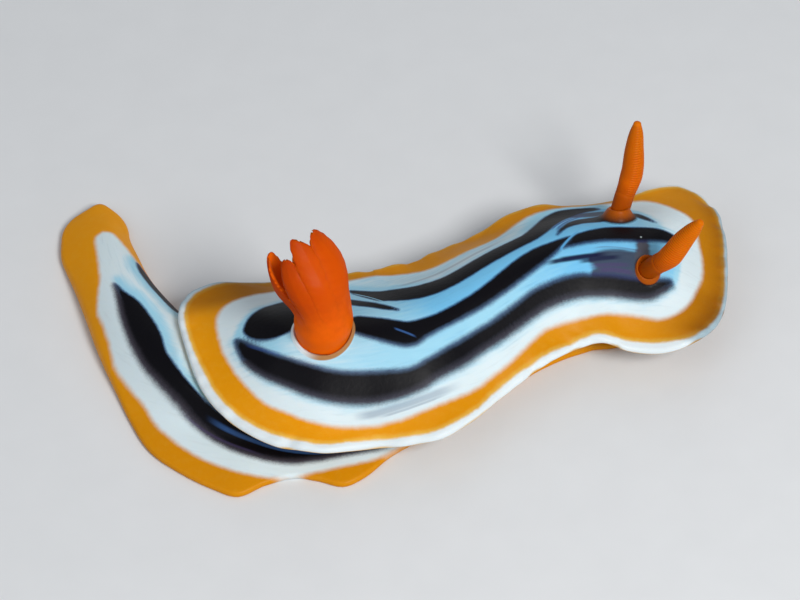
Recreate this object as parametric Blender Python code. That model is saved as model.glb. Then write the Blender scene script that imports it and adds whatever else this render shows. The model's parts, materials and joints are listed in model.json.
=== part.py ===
"""A magnificent chromodoris, a sea slug, at life size and in the pose of a slow S-shaped crawl.

The animal lies on its flat sole, with its head towards +X and its tail swung round towards +Y.
The mantle, the soft sheet over its back, is drawn about one smooth line in plan, and the foot,
trunk and tail about another. Each is a height over that line, worked out from a few sizes, and is
parted into named pieces by thin cuts. Sizes are in millimetres and the scene is in metres.
"""

import math

import bmesh
import bpy
import numpy as np

MM = 0.001
CUT = 0.3  # thin cut between two pieces that touch in life
BACK_CUT = 0.6  # the same between the trunk and the mantle, whose facets are large
PLAN_SHIFT = (0.39, -0.40)  # brings the middle of the animal's box to the origin

# Lines in plan, as (x, y). The back line runs from the rear rim of the mantle to its front rim,
# and the sole line from the tip of the tail to the front of the foot.
BACK_LINE = [
    (-17.2, -5.1), (-13.0, -5.1), (-9.0, -4.95), (-4.0, -4.75), (1.5, -3.4), (5.5, -0.9),
    (9.5, 2.2), (13.5, 4.6), (17.5, 5.8), (22.0, 5.9), (28.6, 5.6),
]
SOLE_LINE = [
    (-26.3, 16.4), (-26.0, 11.0), (-24.2, 5.2), (-20.9, -0.2), (-16.0, -3.6), (-10.0, -4.9),
    (-4.0, -4.6), (1.5, -3.2), (5.5, -0.7), (9.5, 2.3), (13.5, 4.6), (17.5, 5.8), (26.5, 5.6),
]

# The mantle, by distance along the back line: how far the rim stands out on the animal's right
# (near) side and left (far) side, how high the rim is, and how high the crest of the back is.
NEAR_REACH = [
    (7.6, 8.95), (10.5, 9.25), (12.5, 8.9), (14, 8.85), (16.5, 9.35), (18.5, 9.5), (19.5, 9.05), (21.5, 7.95),
    (23.5, 7.6), (28, 7.6), (31, 7.6), (34.5, 7.95), (37.5, 8.65), (40.5, 8.9), (44, 8.9),
]
FAR_REACH = [
    (7.6, 9.4), (10.5, 9.9), (12.5, 9.9), (15, 9.8), (18, 9.5), (20, 9.35), (21.5, 9.25), (23.5, 8.65),
    (26, 8.25), (29, 8.1), (30.5, 8.0), (33.5, 8.3), (35, 8.3), (37.5, 7.7), (39.5, 8.2), (41.5, 8.85),
    (43.5, 9.55), (44.5, 9.9),
]
NEAR_RIM = [(0, 4.6), (8, 3.9), (18, 3.9), (27, 4.2), (33, 4.5), (39, 3.9), (48, 4.2)]
FAR_RIM = [(0, 4.6), (8, 4.4), (15, 4.5), (19.5, 5.2), (24, 4.5), (29, 4.4), (34.5, 4.5), (41, 4.6), (48, 4.4)]
CREST = [(0, 7.0), (5, 7.8), (11, 8.5), (24, 8.6), (34, 8.5), (41, 8.1), (48, 6.8)]
REAR_CAP, FRONT_CAP = 8.5, 6.8  # lengths of the mantle's rounded ends
# Bluntness of the rear and front ends, where 2 is an ellipse, and more is squarer.
NEAR_BLUNTNESS, FAR_BLUNTNESS = (2.2, 2.7), (3.6, 3.2)
REAR_SKEW, SKEW_LENGTH = 0.30, 15.0  # the rear end slants back towards the left, over this length
RIM_THICKNESS, MANTLE_THICKNESS = 0.6, 1.6
ROUND_SHARE = 0.75  # how much of the back is a round arch, and the rest is a flatter one
RISE_BEYOND_RIM = 0.5  # slope at which the tail's ridge may rise where it leaves the mantle
RUFFLE_HEIGHT, RUFFLE_LENGTH, RUFFLE_SLANT = 0.25, 9.5, 0.5  # slant in radians for each mm across
RUFFLE_START, THINNING_START = 0.5, 0.55  # outness where the rim starts to wave and the sheet to thin

# The foot and tail, by distance along the sole line.
NEAR_FOOT = [
    (3.5, 3.25), (5.5, 3.33), (7, 3.1), (9.5, 2.88), (12, 3.05), (14.5, 3.5), (17, 4.25), (19, 5.3), (21, 6.9),
    (23, 8.75), (25, 9.95), (27, 10.95), (28.5, 11.4), (30, 10.0), (31.7, 9.1), (33, 9.45), (34.7, 10.25),
    (36, 9.6), (38, 7.8), (39, 7.2), (42, 6.2), (47, 5.5), (60, 5.6),
]
FAR_FOOT = [
    (3.5, 2.75), (5, 2.98), (7, 3.3), (9, 3.48), (11, 3.68), (14, 4.1), (20, 4.6), (26, 6.4), (34, 6.8),
    (46, 6.0), (60, 5.8),
]
RIDGE_OFFSET = [(0, 0.2), (4, 0.8), (10, 1.3), (18, 1.0), (26, 0.3), (32, 0)]
NEAR_TRUNK = [(0, 1.3), (5, 2.2), (11, 3.0), (17, 3.7), (24, 4.7), (34, 5.2), (44, 4.5), (63, 4.1)]
FAR_TRUNK = [(0, 1.1), (5, 1.4), (11, 1.6), (17, 2.4), (24, 4.2), (34, 5.2), (44, 4.6), (63, 4.2)]
TRUNK_HEIGHT = [
    (0, 0.9), (3, 1.8), (7, 2.7), (12, 3.4), (18, 3.8), (22, 4.2), (26, 5.6), (32, 7.4), (63, 7.4),
]
FLANK_STEEPNESS = [(0, 2.0), (12, 2.2), (18, 2.8), (26, 6.0), (34, 9.0), (63, 9.0)]
TAIL_CAP, FOOT_CAP = 3.5, 5.5  # lengths of the foot's rounded ends
TAIL_POINT, TAIL_POINT_WIDTH, TAIL_POINT_REACH = 0.5, 0.9, 1.5  # the small nib at the tip of the tail
FOOT_END = 66.0  # front of the foot, along the sole line
FOOT_RIM = 0.55  # thickness of the foot's rim
SOLE_SHARE = 0.96  # how far out towards the rim the flat sole reaches
FOOT_SWELL = 1.15  # how much the foot thickens from its rim to the trunk
FOOT_TOP = 1.7  # level at which the foot is parted from the trunk
FLANK_SEARCH = (0.5, 9)  # distances across between which the trunk's side meets that level

# Stations along the sole line at which the body is parted.
TAIL_CUT, TRUNK_START, FOOT_CUTS, TRUNK_CUT = 9.0, 20.5, (36.0, 51.0), 42.0

# The head, under the front of the mantle.
HEAD_START, HEAD_END = 61.0, 66.6
HEAD_HALF_WIDTH, HEAD_TOP = 3.9, 5.2
SNOUT_BLUNTNESS = 2.6
TENTACLE_RADIUS = 0.48
TENTACLE_ROOT, TENTACLE_TIP = (66.0, 0.7, 2.9), (68.1, 0.98, 2.1)  # station, share across, height
TENTACLE_TAPER = [(0, 1.0), (0.6, 0.8), (1, 0.52)]

# The two rhinophores, the ringed feelers: their foot in plan, and the line that each follows from
# there, as (x, y, z) offsets.
RHINOPHORES = {
    "left": ((19.15, 9.3), [(0, 0, 0), (0.5, 0.9, 1.6), (1.15, 2.0, 3.5), (1.3, 3.0, 5.6), (1.5, 3.9, 7.8)]),
    "right": (
        (21.45, 3.0), [(0, 0, 0), (0.7, -0.5, 1.3), (1.65, -1.05, 2.85), (2.75, -0.95, 4.95), (4.05, -1.05, 7.2)],
    ),
}
STALK_SHARE = 0.24  # of a rhinophore's length that is bare stalk
STALK_RADIUS, CLUB_RADIUS = 0.86, 1.0
STALK_SWELL = [(0, 1.0), (0.6, 1.0), (1, 1.02)]  # share of its radius, by the share of its length
CLUB_SWELL = [
    (0, 0.88), (0.12, 0.95), (0.24, 1.0), (0.35, 0.97), (0.6, 0.86), (0.75, 0.74), (0.85, 0.6), (0.93, 0.44),
    (1, 0.2),
]
SHEATH_RADIUS, SHEATH_HEIGHT, SHEATH_WALL = 1.35, 0.45, 0.38
SHEATH_LEAN = 0.6  # how far a sheath leans the way its feeler does
LIP_SHARE = 0.45  # how far the outer side of a sheath or pocket draws in to its lip, as a share of its wall

# The gills: a tuft of plumes in a ring round the vent, that bows out and leans back over the tail.
GILL_CENTRE = (-6.0, -4.95)  # in plan
GILL_COUNT = 8
GILL_LENGTHS = (9.0, 8.0, 6.2, 5.4, 7.0, 8.2, 8.2, 7.6)  # from the plume nearest the head, leftwards round
GILL_LEAN = (-0.285, 0.34)  # shift of a tip for each mm of its height
GILL_BEND = 0.8  # 0 leans the tuft evenly, and more curves it over towards its tips
GILL_SWELL = [(0, 2.2), (0.12, 2.4), (0.3, 2.45), (0.5, 2.9), (0.7, 3.2), (0.85, 2.9), (1, 2.2)]  # outer radius
GILL_THICKNESS = [(0, 1.15), (0.5, 1.0), (1, 0.55)]
GILL_SPREAD = [(0, 1.0), (0.5, 1.0), (0.8, 0.75), (1, 0.4)]  # share of its own sector that it fills
POCKET_RADIUS, POCKET_HEIGHT, POCKET_WALL = 2.9, 0.5, 0.5
VENT_RADIUS, VENT_HEIGHT = 0.45, 1.6
VENT_TAPER = [(0, 1.0), (0.6, 0.8), (1, 0.7)]

# Colours of the living animal.
SKIN_WHITE = (0.80, 0.86, 0.90, 1)
RIM_ORANGE = (0.80, 0.34, 0.02, 1)
FEELER_ORANGE = (0.76, 0.13, 0.01, 1)
GILL_ORANGE = (0.84, 0.12, 0.005, 1)


def clear_scene():
    for obj in list(bpy.data.objects):
        bpy.data.objects.remove(obj, do_unlink=True)


def along(knots, station):
    """A smooth curve through (station, value) pairs, level beyond its ends."""
    at, value = np.array(knots, float).T
    slope = np.gradient(value, at)
    x = np.clip(station, at[0], at[-1])
    i = np.clip(np.searchsorted(at, x) - 1, 0, len(at) - 2)
    step = at[i + 1] - at[i]
    t = (x - at[i]) / step
    return (
        (2 * t**3 - 3 * t**2 + 1) * value[i]
        + (t**3 - 2 * t**2 + t) * step * slope[i]
        + (3 * t**2 - 2 * t**3) * value[i + 1]
        + (t**3 - t**2) * step * slope[i + 1]
    )


def ease(low, high, x):
    """Rises smoothly from 0 at low to 1 at high, or the other way when low is the larger."""
    t = np.clip((x - low) / (high - low), 0, 1)
    return t * t * (3 - 2 * t)


def curve_through(points, steps):
    """Points on a smooth curve through the given ones, with this many steps between two of them."""
    points = np.array(points, float)
    p = np.vstack([2 * points[0] - points[1], points, 2 * points[-1] - points[-2]])
    t = np.linspace(0, 1, steps, endpoint=False)[:, None]
    runs = [
        (2 * b + (c - a) * t + (2 * a - 5 * b + 4 * c - d) * t**2 + (3 * b - a - 3 * c + d) * t**3) / 2
        for a, b, c, d in zip(p, p[1:], p[2:], p[3:])
    ]
    return np.vstack(runs + [points[-1:]])


class PlanLine:
    """A smooth line in plan, read by the distance along it."""

    def __init__(self, points, skew=0.0, skew_length=1.0):
        self.path = curve_through(points, 24)
        steps = np.linalg.norm(np.diff(self.path, axis=0), axis=1)
        self.arc = np.concatenate([[0], np.cumsum(steps)])
        self.length = self.arc[-1]
        heading = np.gradient(self.path, axis=0)
        self.heading = heading / np.linalg.norm(heading, axis=1)[:, None]
        self.skew, self.skew_length = skew, skew_length

    def slant(self, station):
        return self.skew * ease(self.skew_length, 0, station)

    def place(self, station, across, height):
        """The point in space at this distance along, offset to the left, and height."""
        at = station - self.slant(station) * across
        x, y = (np.interp(at, self.arc, self.path[:, i]) for i in (0, 1))
        hx, hy = (np.interp(at, self.arc, self.heading[:, i]) for i in (0, 1))
        beyond = at - np.clip(at, 0, self.length)
        return np.array([x - hy * across + hx * beyond, y + hx * across + hy * beyond, height])

    def locate(self, x, y):
        """The distance along and the offset to the left of a point in plan."""
        dx, dy = x - self.path[:, 0], y - self.path[:, 1]
        i = np.argmin(dx**2 + dy**2)
        hx, hy = self.heading[i]
        across = dy[i] * hx - dx[i] * hy
        at = self.arc[i] + dx[i] * hx + dy[i] * hy
        station = at
        for _ in range(4):
            station = at + self.slant(station) * across
        return station, across


back = PlanLine(BACK_LINE, REAR_SKEW, SKEW_LENGTH)
sole = PlanLine(SOLE_LINE)


def mantle_end(u, side):
    """How far a station lies into a rounded end, 0 to 1, and that end's bluntness on one side."""
    rear, front = FAR_BLUNTNESS if side > 0 else NEAR_BLUNTNESS
    if u < REAR_CAP:
        return (REAR_CAP - u) / REAR_CAP, rear
    return max(0.0, (u - back.length + FRONT_CAP) / FRONT_CAP), front


def mantle_width(u, side):
    """Half the mantle's width at a station on one side, before its ends are rounded."""
    return along(FAR_REACH if side > 0 else NEAR_REACH, u)


def mantle_reach(u, side):
    into, blunt = mantle_end(u, side)
    return mantle_width(u, side) * max(0.0, 1 - into**blunt) ** (1 / blunt)


def outness(u, v):
    """0 on the mantle's middle line, 1 at its rim, and more beyond it."""
    into, blunt = mantle_end(u, v)
    share = abs(v) / mantle_width(u, v)
    return (into**blunt + share**blunt) ** (1 / blunt) if into else share


def mantle_top(u, v):
    """Height of the mantle's upper face at a place along and across the back line."""
    out = min(1.0, outness(u, v))
    fall = ROUND_SHARE * math.cos(math.pi / 2 * out) ** 2 + (1 - ROUND_SHARE) * (1 - out**2)
    near, far = along(NEAR_RIM, u), along(FAR_RIM, u)
    level = near + (far - near) * ease(-1, 1, v / mantle_width(u, v))
    ruffle = RUFFLE_HEIGHT * math.sin(2 * math.pi * u / RUFFLE_LENGTH + RUFFLE_SLANT * v)
    return level + (along(CREST, u) - level) * fall + ruffle * ease(RUFFLE_START, 1.0, out)


def mantle_under(u, v):
    """Height of the mantle's lower face."""
    share = ease(1.0, THINNING_START, outness(u, v))
    return mantle_top(u, v) - RIM_THICKNESS - (MANTLE_THICKNESS - RIM_THICKNESS) * share


def above_mantle(x, y):
    """Height of the mantle's upper face over a point in plan."""
    return mantle_top(*back.locate(x, y))


def under_mantle(x, y):
    """Height of the mantle's lower face over a point in plan. It rises steadily outside the mantle."""
    u, v = back.locate(x, y)
    outside = max(0.0, outness(u, v) - 1) * mantle_width(u, v)
    return mantle_under(u, v) + RISE_BEYOND_RIM * outside


def foot_reach(s, side):
    """How far the foot's rim stands out on one side of the sole line."""
    width = along(FAR_FOOT if side > 0 else NEAR_FOOT, s)
    into = max(0.0, 1 - s / TAIL_CAP, (s - FOOT_END + FOOT_CAP) / FOOT_CAP)
    return width * math.sqrt(max(0.0, 1 - into**2))


def body_top(s, v):
    """Height of the foot and trunk at a place along and across the sole line, before the mantle."""
    out = min(1.0, abs(v) / foot_reach(s, v))
    height = along(TRUNK_HEIGHT, s)
    swell = FOOT_SWELL * (1 - out**2) * min(1.0, height / 3)
    from_ridge = v - along(RIDGE_OFFSET, s)
    half = along(FAR_TRUNK if from_ridge > 0 else NEAR_TRUNK, s)
    flank = 0.5 ** (abs(from_ridge) / half) ** along(FLANK_STEEPNESS, s)
    return FOOT_RIM + swell + max(height - FOOT_RIM - swell, 0) * flank


def body_height(s, v):
    """Height of the foot and trunk, kept a thin cut below the mantle."""
    x, y, _ = sole.place(s, v, 0)
    return min(body_top(s, v), under_mantle(x, y) - BACK_CUT)


def material(name, colour, roughness=0.35):
    made = bpy.data.materials.get(name)
    if made is None:
        made = bpy.data.materials.new(name)
        made.use_nodes = True
        shader = made.node_tree.nodes["Principled BSDF"]
        shader.inputs["Base Color"].default_value = colour
        shader.inputs["Roughness"].default_value = roughness
        shader.inputs["Metallic"].default_value = 0
        made.diffuse_color = colour
    return made


def body_skin():
    return material("body_skin", SKIN_WHITE)


def rim_skin():
    return material("rim_skin", RIM_ORANGE)


def loft(name, rings, finish, around=False):
    """One closed solid through rings of points in millimetres: a bar with two ends, or a ring."""
    bm = bmesh.new()
    shift = np.array([*PLAN_SHIFT, 0])
    loops = [[bm.verts.new((np.array(point) + shift) * MM) for point in ring] for ring in rings]
    following = loops[1:] + loops[:1] if around else loops[1:]
    for one, other in zip(loops, following):
        for i in range(len(one)):
            j = (i + 1) % len(one)
            bm.faces.new((one[i], one[j], other[j], other[i]))
    if not around:
        bm.faces.new(loops[0][::-1])
        bm.faces.new(loops[-1])
    if bm.calc_volume(signed=True) < 0:
        bmesh.ops.reverse_faces(bm, faces=bm.faces)
    mesh = bpy.data.meshes.new(name)
    bm.to_mesh(mesh)
    bm.free()
    mesh.shade_smooth()
    mesh.set_sharp_from_angle(angle=math.radians(50))
    mesh.materials.append(finish)
    obj = bpy.data.objects.new(name, mesh)
    bpy.context.collection.objects.link(obj)
    return obj


def stations(low, high, spacing):
    return list(np.linspace(low, high, max(2, round((high - low) / spacing) + 1)))


def rounded_stations(low, high, spacing, cap, end):
    """Stations spaced evenly, and closer towards one rounded end, as turns of a quarter circle are."""
    steps = 9
    turn = [cap * (1 - math.cos(math.pi / 2 * i / steps)) for i in range(1, steps + 1)]
    if end == "low":
        return [low + t for t in turn] + stations(low + cap, high, spacing)[1:]
    return stations(low, high - cap, spacing)[:-1] + [high - t for t in reversed(turn)]


def shares(steps):
    """Places across a section from one rim to the other, closer together towards the rims."""
    return [math.sin(math.pi / 2 * i / steps) for i in range(1 - steps, steps)]


def mantle_ring(u):
    """The mantle's cross-section: over the back from the near rim to the far one, and back below."""
    near, far = mantle_reach(u, -1), mantle_reach(u, 1)
    inner = [share * (far if share > 0 else near) for share in shares(8)]
    ring = [back.place(u, v, mantle_top(u, v)) for v in inner]
    ring.append(back.place(u, far, mantle_top(u, far) - RIM_THICKNESS / 2))
    ring += [back.place(u, v, mantle_under(u, v)) for v in reversed(inner)]
    ring.append(back.place(u, -near, mantle_top(u, -near) - RIM_THICKNESS / 2))
    return ring


def make_mantle():
    third = back.length / 3
    parts = {
        "mantle_rear": rounded_stations(0, third, 1.5, REAR_CAP, "low"),
        "mantle_middle": stations(third + CUT, 2 * third, 1.5),
        "mantle_front": rounded_stations(2 * third + CUT, back.length, 1.5, FRONT_CAP, "high"),
    }
    for name, places in parts.items():
        loft(name, [mantle_ring(u) for u in places], body_skin())


def foot_ring(s, level=math.inf):
    """Cross-section of the foot, or of the whole tail, over its top and back along the flat sole."""
    near, far = foot_reach(s, -1), foot_reach(s, 1)
    top = [share * (far if share > 0 else near) for share in shares(8)]
    ring = [sole.place(s, v, min(body_height(s, v), level)) for v in top]
    ring.append(sole.place(s, far, FOOT_RIM / 2))
    ring += [sole.place(s, far * SOLE_SHARE, 0), sole.place(s, -near * SOLE_SHARE, 0)]
    ring.append(sole.place(s, -near, FOOT_RIM / 2))
    return ring


def tail_tip_ring(s):
    """The same at the end of the tail, drawn out into a small nib."""
    ring = []
    for point in foot_ring(s):
        _, v = sole.locate(point[0], point[1])
        nib = TAIL_POINT * math.exp(-((v / TAIL_POINT_WIDTH) ** 2)) * ease(TAIL_POINT_REACH, 0, s)
        ring.append(point + np.array([0, nib, 0]))
    return ring


def trunk_ring(s):
    """Cross-section of the trunk above the foot, under the mantle."""
    base = FOOT_TOP + CUT
    spread = np.linspace(*FLANK_SEARCH, 52)
    near, far = (np.interp(-base, [-body_top(s, side * v) for v in spread], spread) for side in (-1, 1))
    ring = []
    for turn in [-1] + shares(7) + [1]:
        v = turn * (far if turn > 0 else near)
        ring.append(sole.place(s, v, max(base, body_height(s, v))))
    return ring


def make_body():
    tip = rounded_stations(0.0, TAIL_CUT, 1.2, TAIL_CAP, "low")
    loft("tail_tip", [tail_tip_ring(s) for s in tip], rim_skin())
    loft("tail", [foot_ring(s) for s in stations(TAIL_CUT + CUT, TRUNK_START, 1.3)], body_skin())
    cuts = [TRUNK_START, *FOOT_CUTS]
    for name, low, high in zip(("foot_rear", "foot_middle"), cuts, cuts[1:]):
        loft(name, [foot_ring(s, FOOT_TOP) for s in stations(low + CUT, high, 1.1)], rim_skin())
    front = rounded_stations(cuts[-1] + CUT, FOOT_END, 1.6, FOOT_CAP, "high")
    loft("foot_front", [foot_ring(s, FOOT_TOP) for s in front], rim_skin())
    loft("trunk_rear", [trunk_ring(s) for s in stations(TRUNK_START + CUT, TRUNK_CUT, 1.6)], body_skin())
    front = stations(TRUNK_CUT + CUT, HEAD_START - CUT, 1.6)
    loft("trunk_front", [trunk_ring(s) for s in front], body_skin())


def head_ring(s):
    """Cross-section of the head: an oval that closes towards the mouth, above the front of the foot."""
    into = (s - HEAD_START) / (HEAD_END - HEAD_START)
    size = math.sqrt(1 - into**SNOUT_BLUNTNESS)
    base = FOOT_TOP + CUT
    middle, half = (HEAD_TOP + base) / 2, (HEAD_TOP - base) / 2
    ring = []
    for i in range(16):
        turn = 2 * math.pi * i / 16
        x, y, _ = sole.place(s, HEAD_HALF_WIDTH * size * math.cos(turn), 0)
        ring.append((x, y, min(middle + half * size * math.sin(turn), under_mantle(x, y) - BACK_CUT)))
    return ring


def make_head():
    steps, reach = 8, HEAD_END - HEAD_START
    places = [HEAD_START + reach * math.sin(math.pi / 2 * i / steps) for i in range(steps)]
    loft("head", [head_ring(s) for s in places], body_skin())
    for name, side in (("oral_tentacle_right", -1), ("oral_tentacle_left", 1)):
        ends = []
        for station, share, height in (TENTACLE_ROOT, TENTACLE_TIP):
            ends.append(sole.place(station, side * HEAD_HALF_WIDTH * share, height))
        spindle(name, ends, TENTACLE_TAPER, TENTACLE_RADIUS, body_skin(), 8, 4)


def spindle(name, line, profile, radius, finish, sides, rings, seated=False):
    """A round tapering piece along a line. A seated one starts on the mantle and stays clear of it."""
    path = curve_through(line, 24)
    at = np.linspace(0, len(path) - 1, rings).round().astype(int)
    heading = np.gradient(path, axis=0)
    made = []
    for count, i in enumerate(at):
        way = heading[i] / np.linalg.norm(heading[i])
        side = np.cross(way, (0.0, 1.0, 0.0))
        side = side / np.linalg.norm(side)
        size = radius * along(profile, count / (rings - 1))
        ring = []
        for turn in np.arange(sides) * 2 * math.pi / sides:
            point = path[i] + size * (math.cos(turn) * side + math.sin(turn) * np.cross(way, side))
            if seated:
                floor = above_mantle(point[0], point[1]) + CUT * (1 + count)
                point[2] = max(floor, point[2]) if count else floor
            ring.append(point)
        made.append(ring)
    return loft(name, made, finish)


def collar(name, centre, radius, wall, height, lean, sides, finish):
    """A low upright rim whose lower edge follows the mantle."""
    lip = radius - wall * LIP_SHARE
    inside = radius - wall
    rings = []
    for turn in np.arange(sides) * 2 * math.pi / sides:
        section = []
        for size, rise in ((radius, 0), (lip, height), (inside, height), (inside, 0)):
            x = centre[0] + size * math.cos(turn) + lean[0] * rise
            y = centre[1] + size * math.sin(turn) + lean[1] * rise
            section.append((x, y, above_mantle(x, y) + CUT + rise))
        rings.append(section)
    return loft(name, rings, finish, around=True)


def make_rhinophores():
    finish = material("rhinophore_skin", FEELER_ORANGE)
    for side, (foot, offsets) in RHINOPHORES.items():
        start = np.array([*foot, above_mantle(*foot)])
        path = curve_through([start + np.array(offset) for offset in offsets], 24)
        split = round(STALK_SHARE * (len(path) - 1))
        stalk = path[[0, split // 2, split]]
        club = path[np.linspace(split, len(path) - 1, 7).round().astype(int)]
        club[0] += CUT * (club[1] - club[0]) / np.linalg.norm(club[1] - club[0])
        spindle(f"rhinophore_stalk_{side}", stalk, STALK_SWELL, STALK_RADIUS, finish, 14, 5, seated=True)
        spindle(f"rhinophore_club_{side}", club, CLUB_SWELL, CLUB_RADIUS, finish, 14, 12)
        lean = np.array(offsets[1][:2]) / offsets[1][2] * SHEATH_LEAN
        collar(f"rhinophore_sheath_{side}", foot, SHEATH_RADIUS, SHEATH_WALL, SHEATH_HEIGHT, lean, 20, rim_skin())


def plume_ring(turn, length, share):
    """Cross-section of one gill plume: its own sector of the round tuft, thinner towards the tip."""
    rise = share * length
    outer = along(GILL_SWELL, share)
    inner = outer - along(GILL_THICKNESS, share)
    half = math.pi / GILL_COUNT * along(GILL_SPREAD, share)
    middle = np.array(GILL_CENTRE) + np.array(GILL_LEAN) * rise * share**GILL_BEND
    ring = []
    for radius, order in ((outer, (-1, 0, 1)), (inner, (1, -1))):
        clear = CUT / 2 / radius
        for step in order:
            angle = turn + step * (half - clear)
            spot = middle + radius * np.array([math.cos(angle), math.sin(angle)])
            low = above_mantle(*spot) if share == 0 else above_mantle(*GILL_CENTRE)
            ring.append((*spot, low + CUT + rise))
    return ring


def make_gills():
    finish = material("gill_skin", GILL_ORANGE)
    for i in range(GILL_COUNT):
        turn = 2 * math.pi * i / GILL_COUNT
        rings = [plume_ring(turn, GILL_LENGTHS[i], share) for share in np.linspace(0, 1, 11)]
        loft(f"gill_{i + 1}", rings, finish)
    collar("gill_pocket", GILL_CENTRE, POCKET_RADIUS, POCKET_WALL, POCKET_HEIGHT, (0, 0), 28, rim_skin())
    seat = np.array([*GILL_CENTRE, above_mantle(*GILL_CENTRE) + CUT])
    vent = [seat, seat + np.array([0, 0, VENT_HEIGHT])]
    spindle("vent", vent, VENT_TAPER, VENT_RADIUS, body_skin(), 8, 4)


clear_scene()
make_mantle()
make_body()
make_head()
make_rhinophores()
make_gills()
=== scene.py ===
# %% [markdown]
# A magnificent chromodoris, a sea slug of about 58 mm, as it crawls in a slow S-bend.
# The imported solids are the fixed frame: they give its size and place. This lesson makes the living
# surface over them: one soft skin with its stripes, two ringed feelers and a tuft of gill plumes.

import json
import math

import bpy
import numpy as np
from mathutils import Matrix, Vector

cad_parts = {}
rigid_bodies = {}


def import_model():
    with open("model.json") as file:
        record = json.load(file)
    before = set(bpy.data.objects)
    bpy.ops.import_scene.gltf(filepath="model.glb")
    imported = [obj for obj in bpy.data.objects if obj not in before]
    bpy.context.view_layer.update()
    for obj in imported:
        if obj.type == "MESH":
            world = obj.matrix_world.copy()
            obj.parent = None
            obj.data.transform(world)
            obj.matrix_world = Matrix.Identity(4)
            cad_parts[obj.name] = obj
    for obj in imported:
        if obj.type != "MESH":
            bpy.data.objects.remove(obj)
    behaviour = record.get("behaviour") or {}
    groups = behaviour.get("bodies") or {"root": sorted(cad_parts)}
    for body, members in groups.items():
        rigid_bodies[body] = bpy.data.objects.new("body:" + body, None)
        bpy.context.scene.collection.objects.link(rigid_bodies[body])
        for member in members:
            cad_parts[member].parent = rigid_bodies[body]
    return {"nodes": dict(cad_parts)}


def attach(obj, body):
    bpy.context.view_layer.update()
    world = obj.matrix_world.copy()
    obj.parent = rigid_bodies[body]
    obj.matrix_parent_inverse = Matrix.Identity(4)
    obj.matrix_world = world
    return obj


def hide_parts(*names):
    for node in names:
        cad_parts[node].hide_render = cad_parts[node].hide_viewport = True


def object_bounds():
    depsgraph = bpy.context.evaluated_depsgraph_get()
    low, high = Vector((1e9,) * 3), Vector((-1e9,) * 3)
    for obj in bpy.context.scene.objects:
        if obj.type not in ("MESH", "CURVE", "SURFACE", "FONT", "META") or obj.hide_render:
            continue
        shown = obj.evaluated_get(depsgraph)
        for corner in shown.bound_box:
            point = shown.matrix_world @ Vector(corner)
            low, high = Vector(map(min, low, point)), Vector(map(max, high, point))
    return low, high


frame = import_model()
CAD_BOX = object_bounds()
MM = 0.001
box_sides = [round(side / MM, 1) for side in CAD_BOX[1] - CAD_BOX[0]]
print("frame:", len(frame["nodes"]), "nodes, box in mm", box_sides)

# %% [markdown]
# The slug is soft and has no straight line in it. It could be sculpted by eye, but its solids follow
# two lines in plan: one along the back, from the rear rim of the mantle to its front rim, and one along
# the sole, from the tip of the tail to the front of the foot. The skin has to follow the same two lines,
# so they are drawn again here, in millimetres, as smooth curves through a few points.

# %% Curves
PLAN_SHIFT = (0.39, -0.40)
BACK_LINE = [
    (-17.2, -5.1), (-13.0, -5.1), (-9.0, -4.95), (-4.0, -4.75), (1.5, -3.4), (5.5, -0.9),
    (9.5, 2.2), (13.5, 4.6), (17.5, 5.8), (22.0, 5.9), (28.6, 5.6),
]
SOLE_LINE = [
    (-26.3, 16.4), (-26.0, 11.0), (-24.2, 5.2), (-20.9, -0.2), (-16.0, -3.6), (-10.0, -4.9),
    (-4.0, -4.6), (1.5, -3.2), (5.5, -0.7), (9.5, 2.3), (13.5, 4.6), (17.5, 5.8), (26.5, 5.6),
]


def along(knots, station):
    """A smooth curve through (station, value) pairs, level beyond its ends."""
    at, value = np.array(knots, float).T
    slope = np.gradient(value, at)
    x = np.clip(station, at[0], at[-1])
    i = np.clip(np.searchsorted(at, x) - 1, 0, len(at) - 2)
    step = at[i + 1] - at[i]
    t = (x - at[i]) / step
    return (
        (2 * t**3 - 3 * t**2 + 1) * value[i]
        + (t**3 - 2 * t**2 + t) * step * slope[i]
        + (3 * t**2 - 2 * t**3) * value[i + 1]
        + (t**3 - t**2) * step * slope[i + 1]
    )


def ease(low, high, x):
    """Rises smoothly from 0 at low to 1 at high, or the other way when low is the larger."""
    t = np.clip((x - low) / (high - low), 0, 1)
    return t * t * (3 - 2 * t)


def curve_through(points, steps):
    """Points on a smooth curve through the given ones, with this many steps between two of them."""
    points = np.array(points, float)
    p = np.vstack([2 * points[0] - points[1], points, 2 * points[-1] - points[-2]])
    t = np.linspace(0, 1, steps, endpoint=False)[:, None]
    runs = [
        (2 * b + (c - a) * t + (2 * a - 5 * b + 4 * c - d) * t**2 + (3 * b - a - 3 * c + d) * t**3) / 2
        for a, b, c, d in zip(p, p[1:], p[2:], p[3:])
    ]
    return np.vstack(runs + [points[-1:]])

# %% [markdown]
# A flat sheet is easy to shape, and the slug is a flat sheet laid along a bent line. So each line can do
# two things: lay out points that are given as distances along and across it, and read those distances
# back from any place in plan. The rear of the mantle is a little askew: its far side reaches further back.

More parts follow.
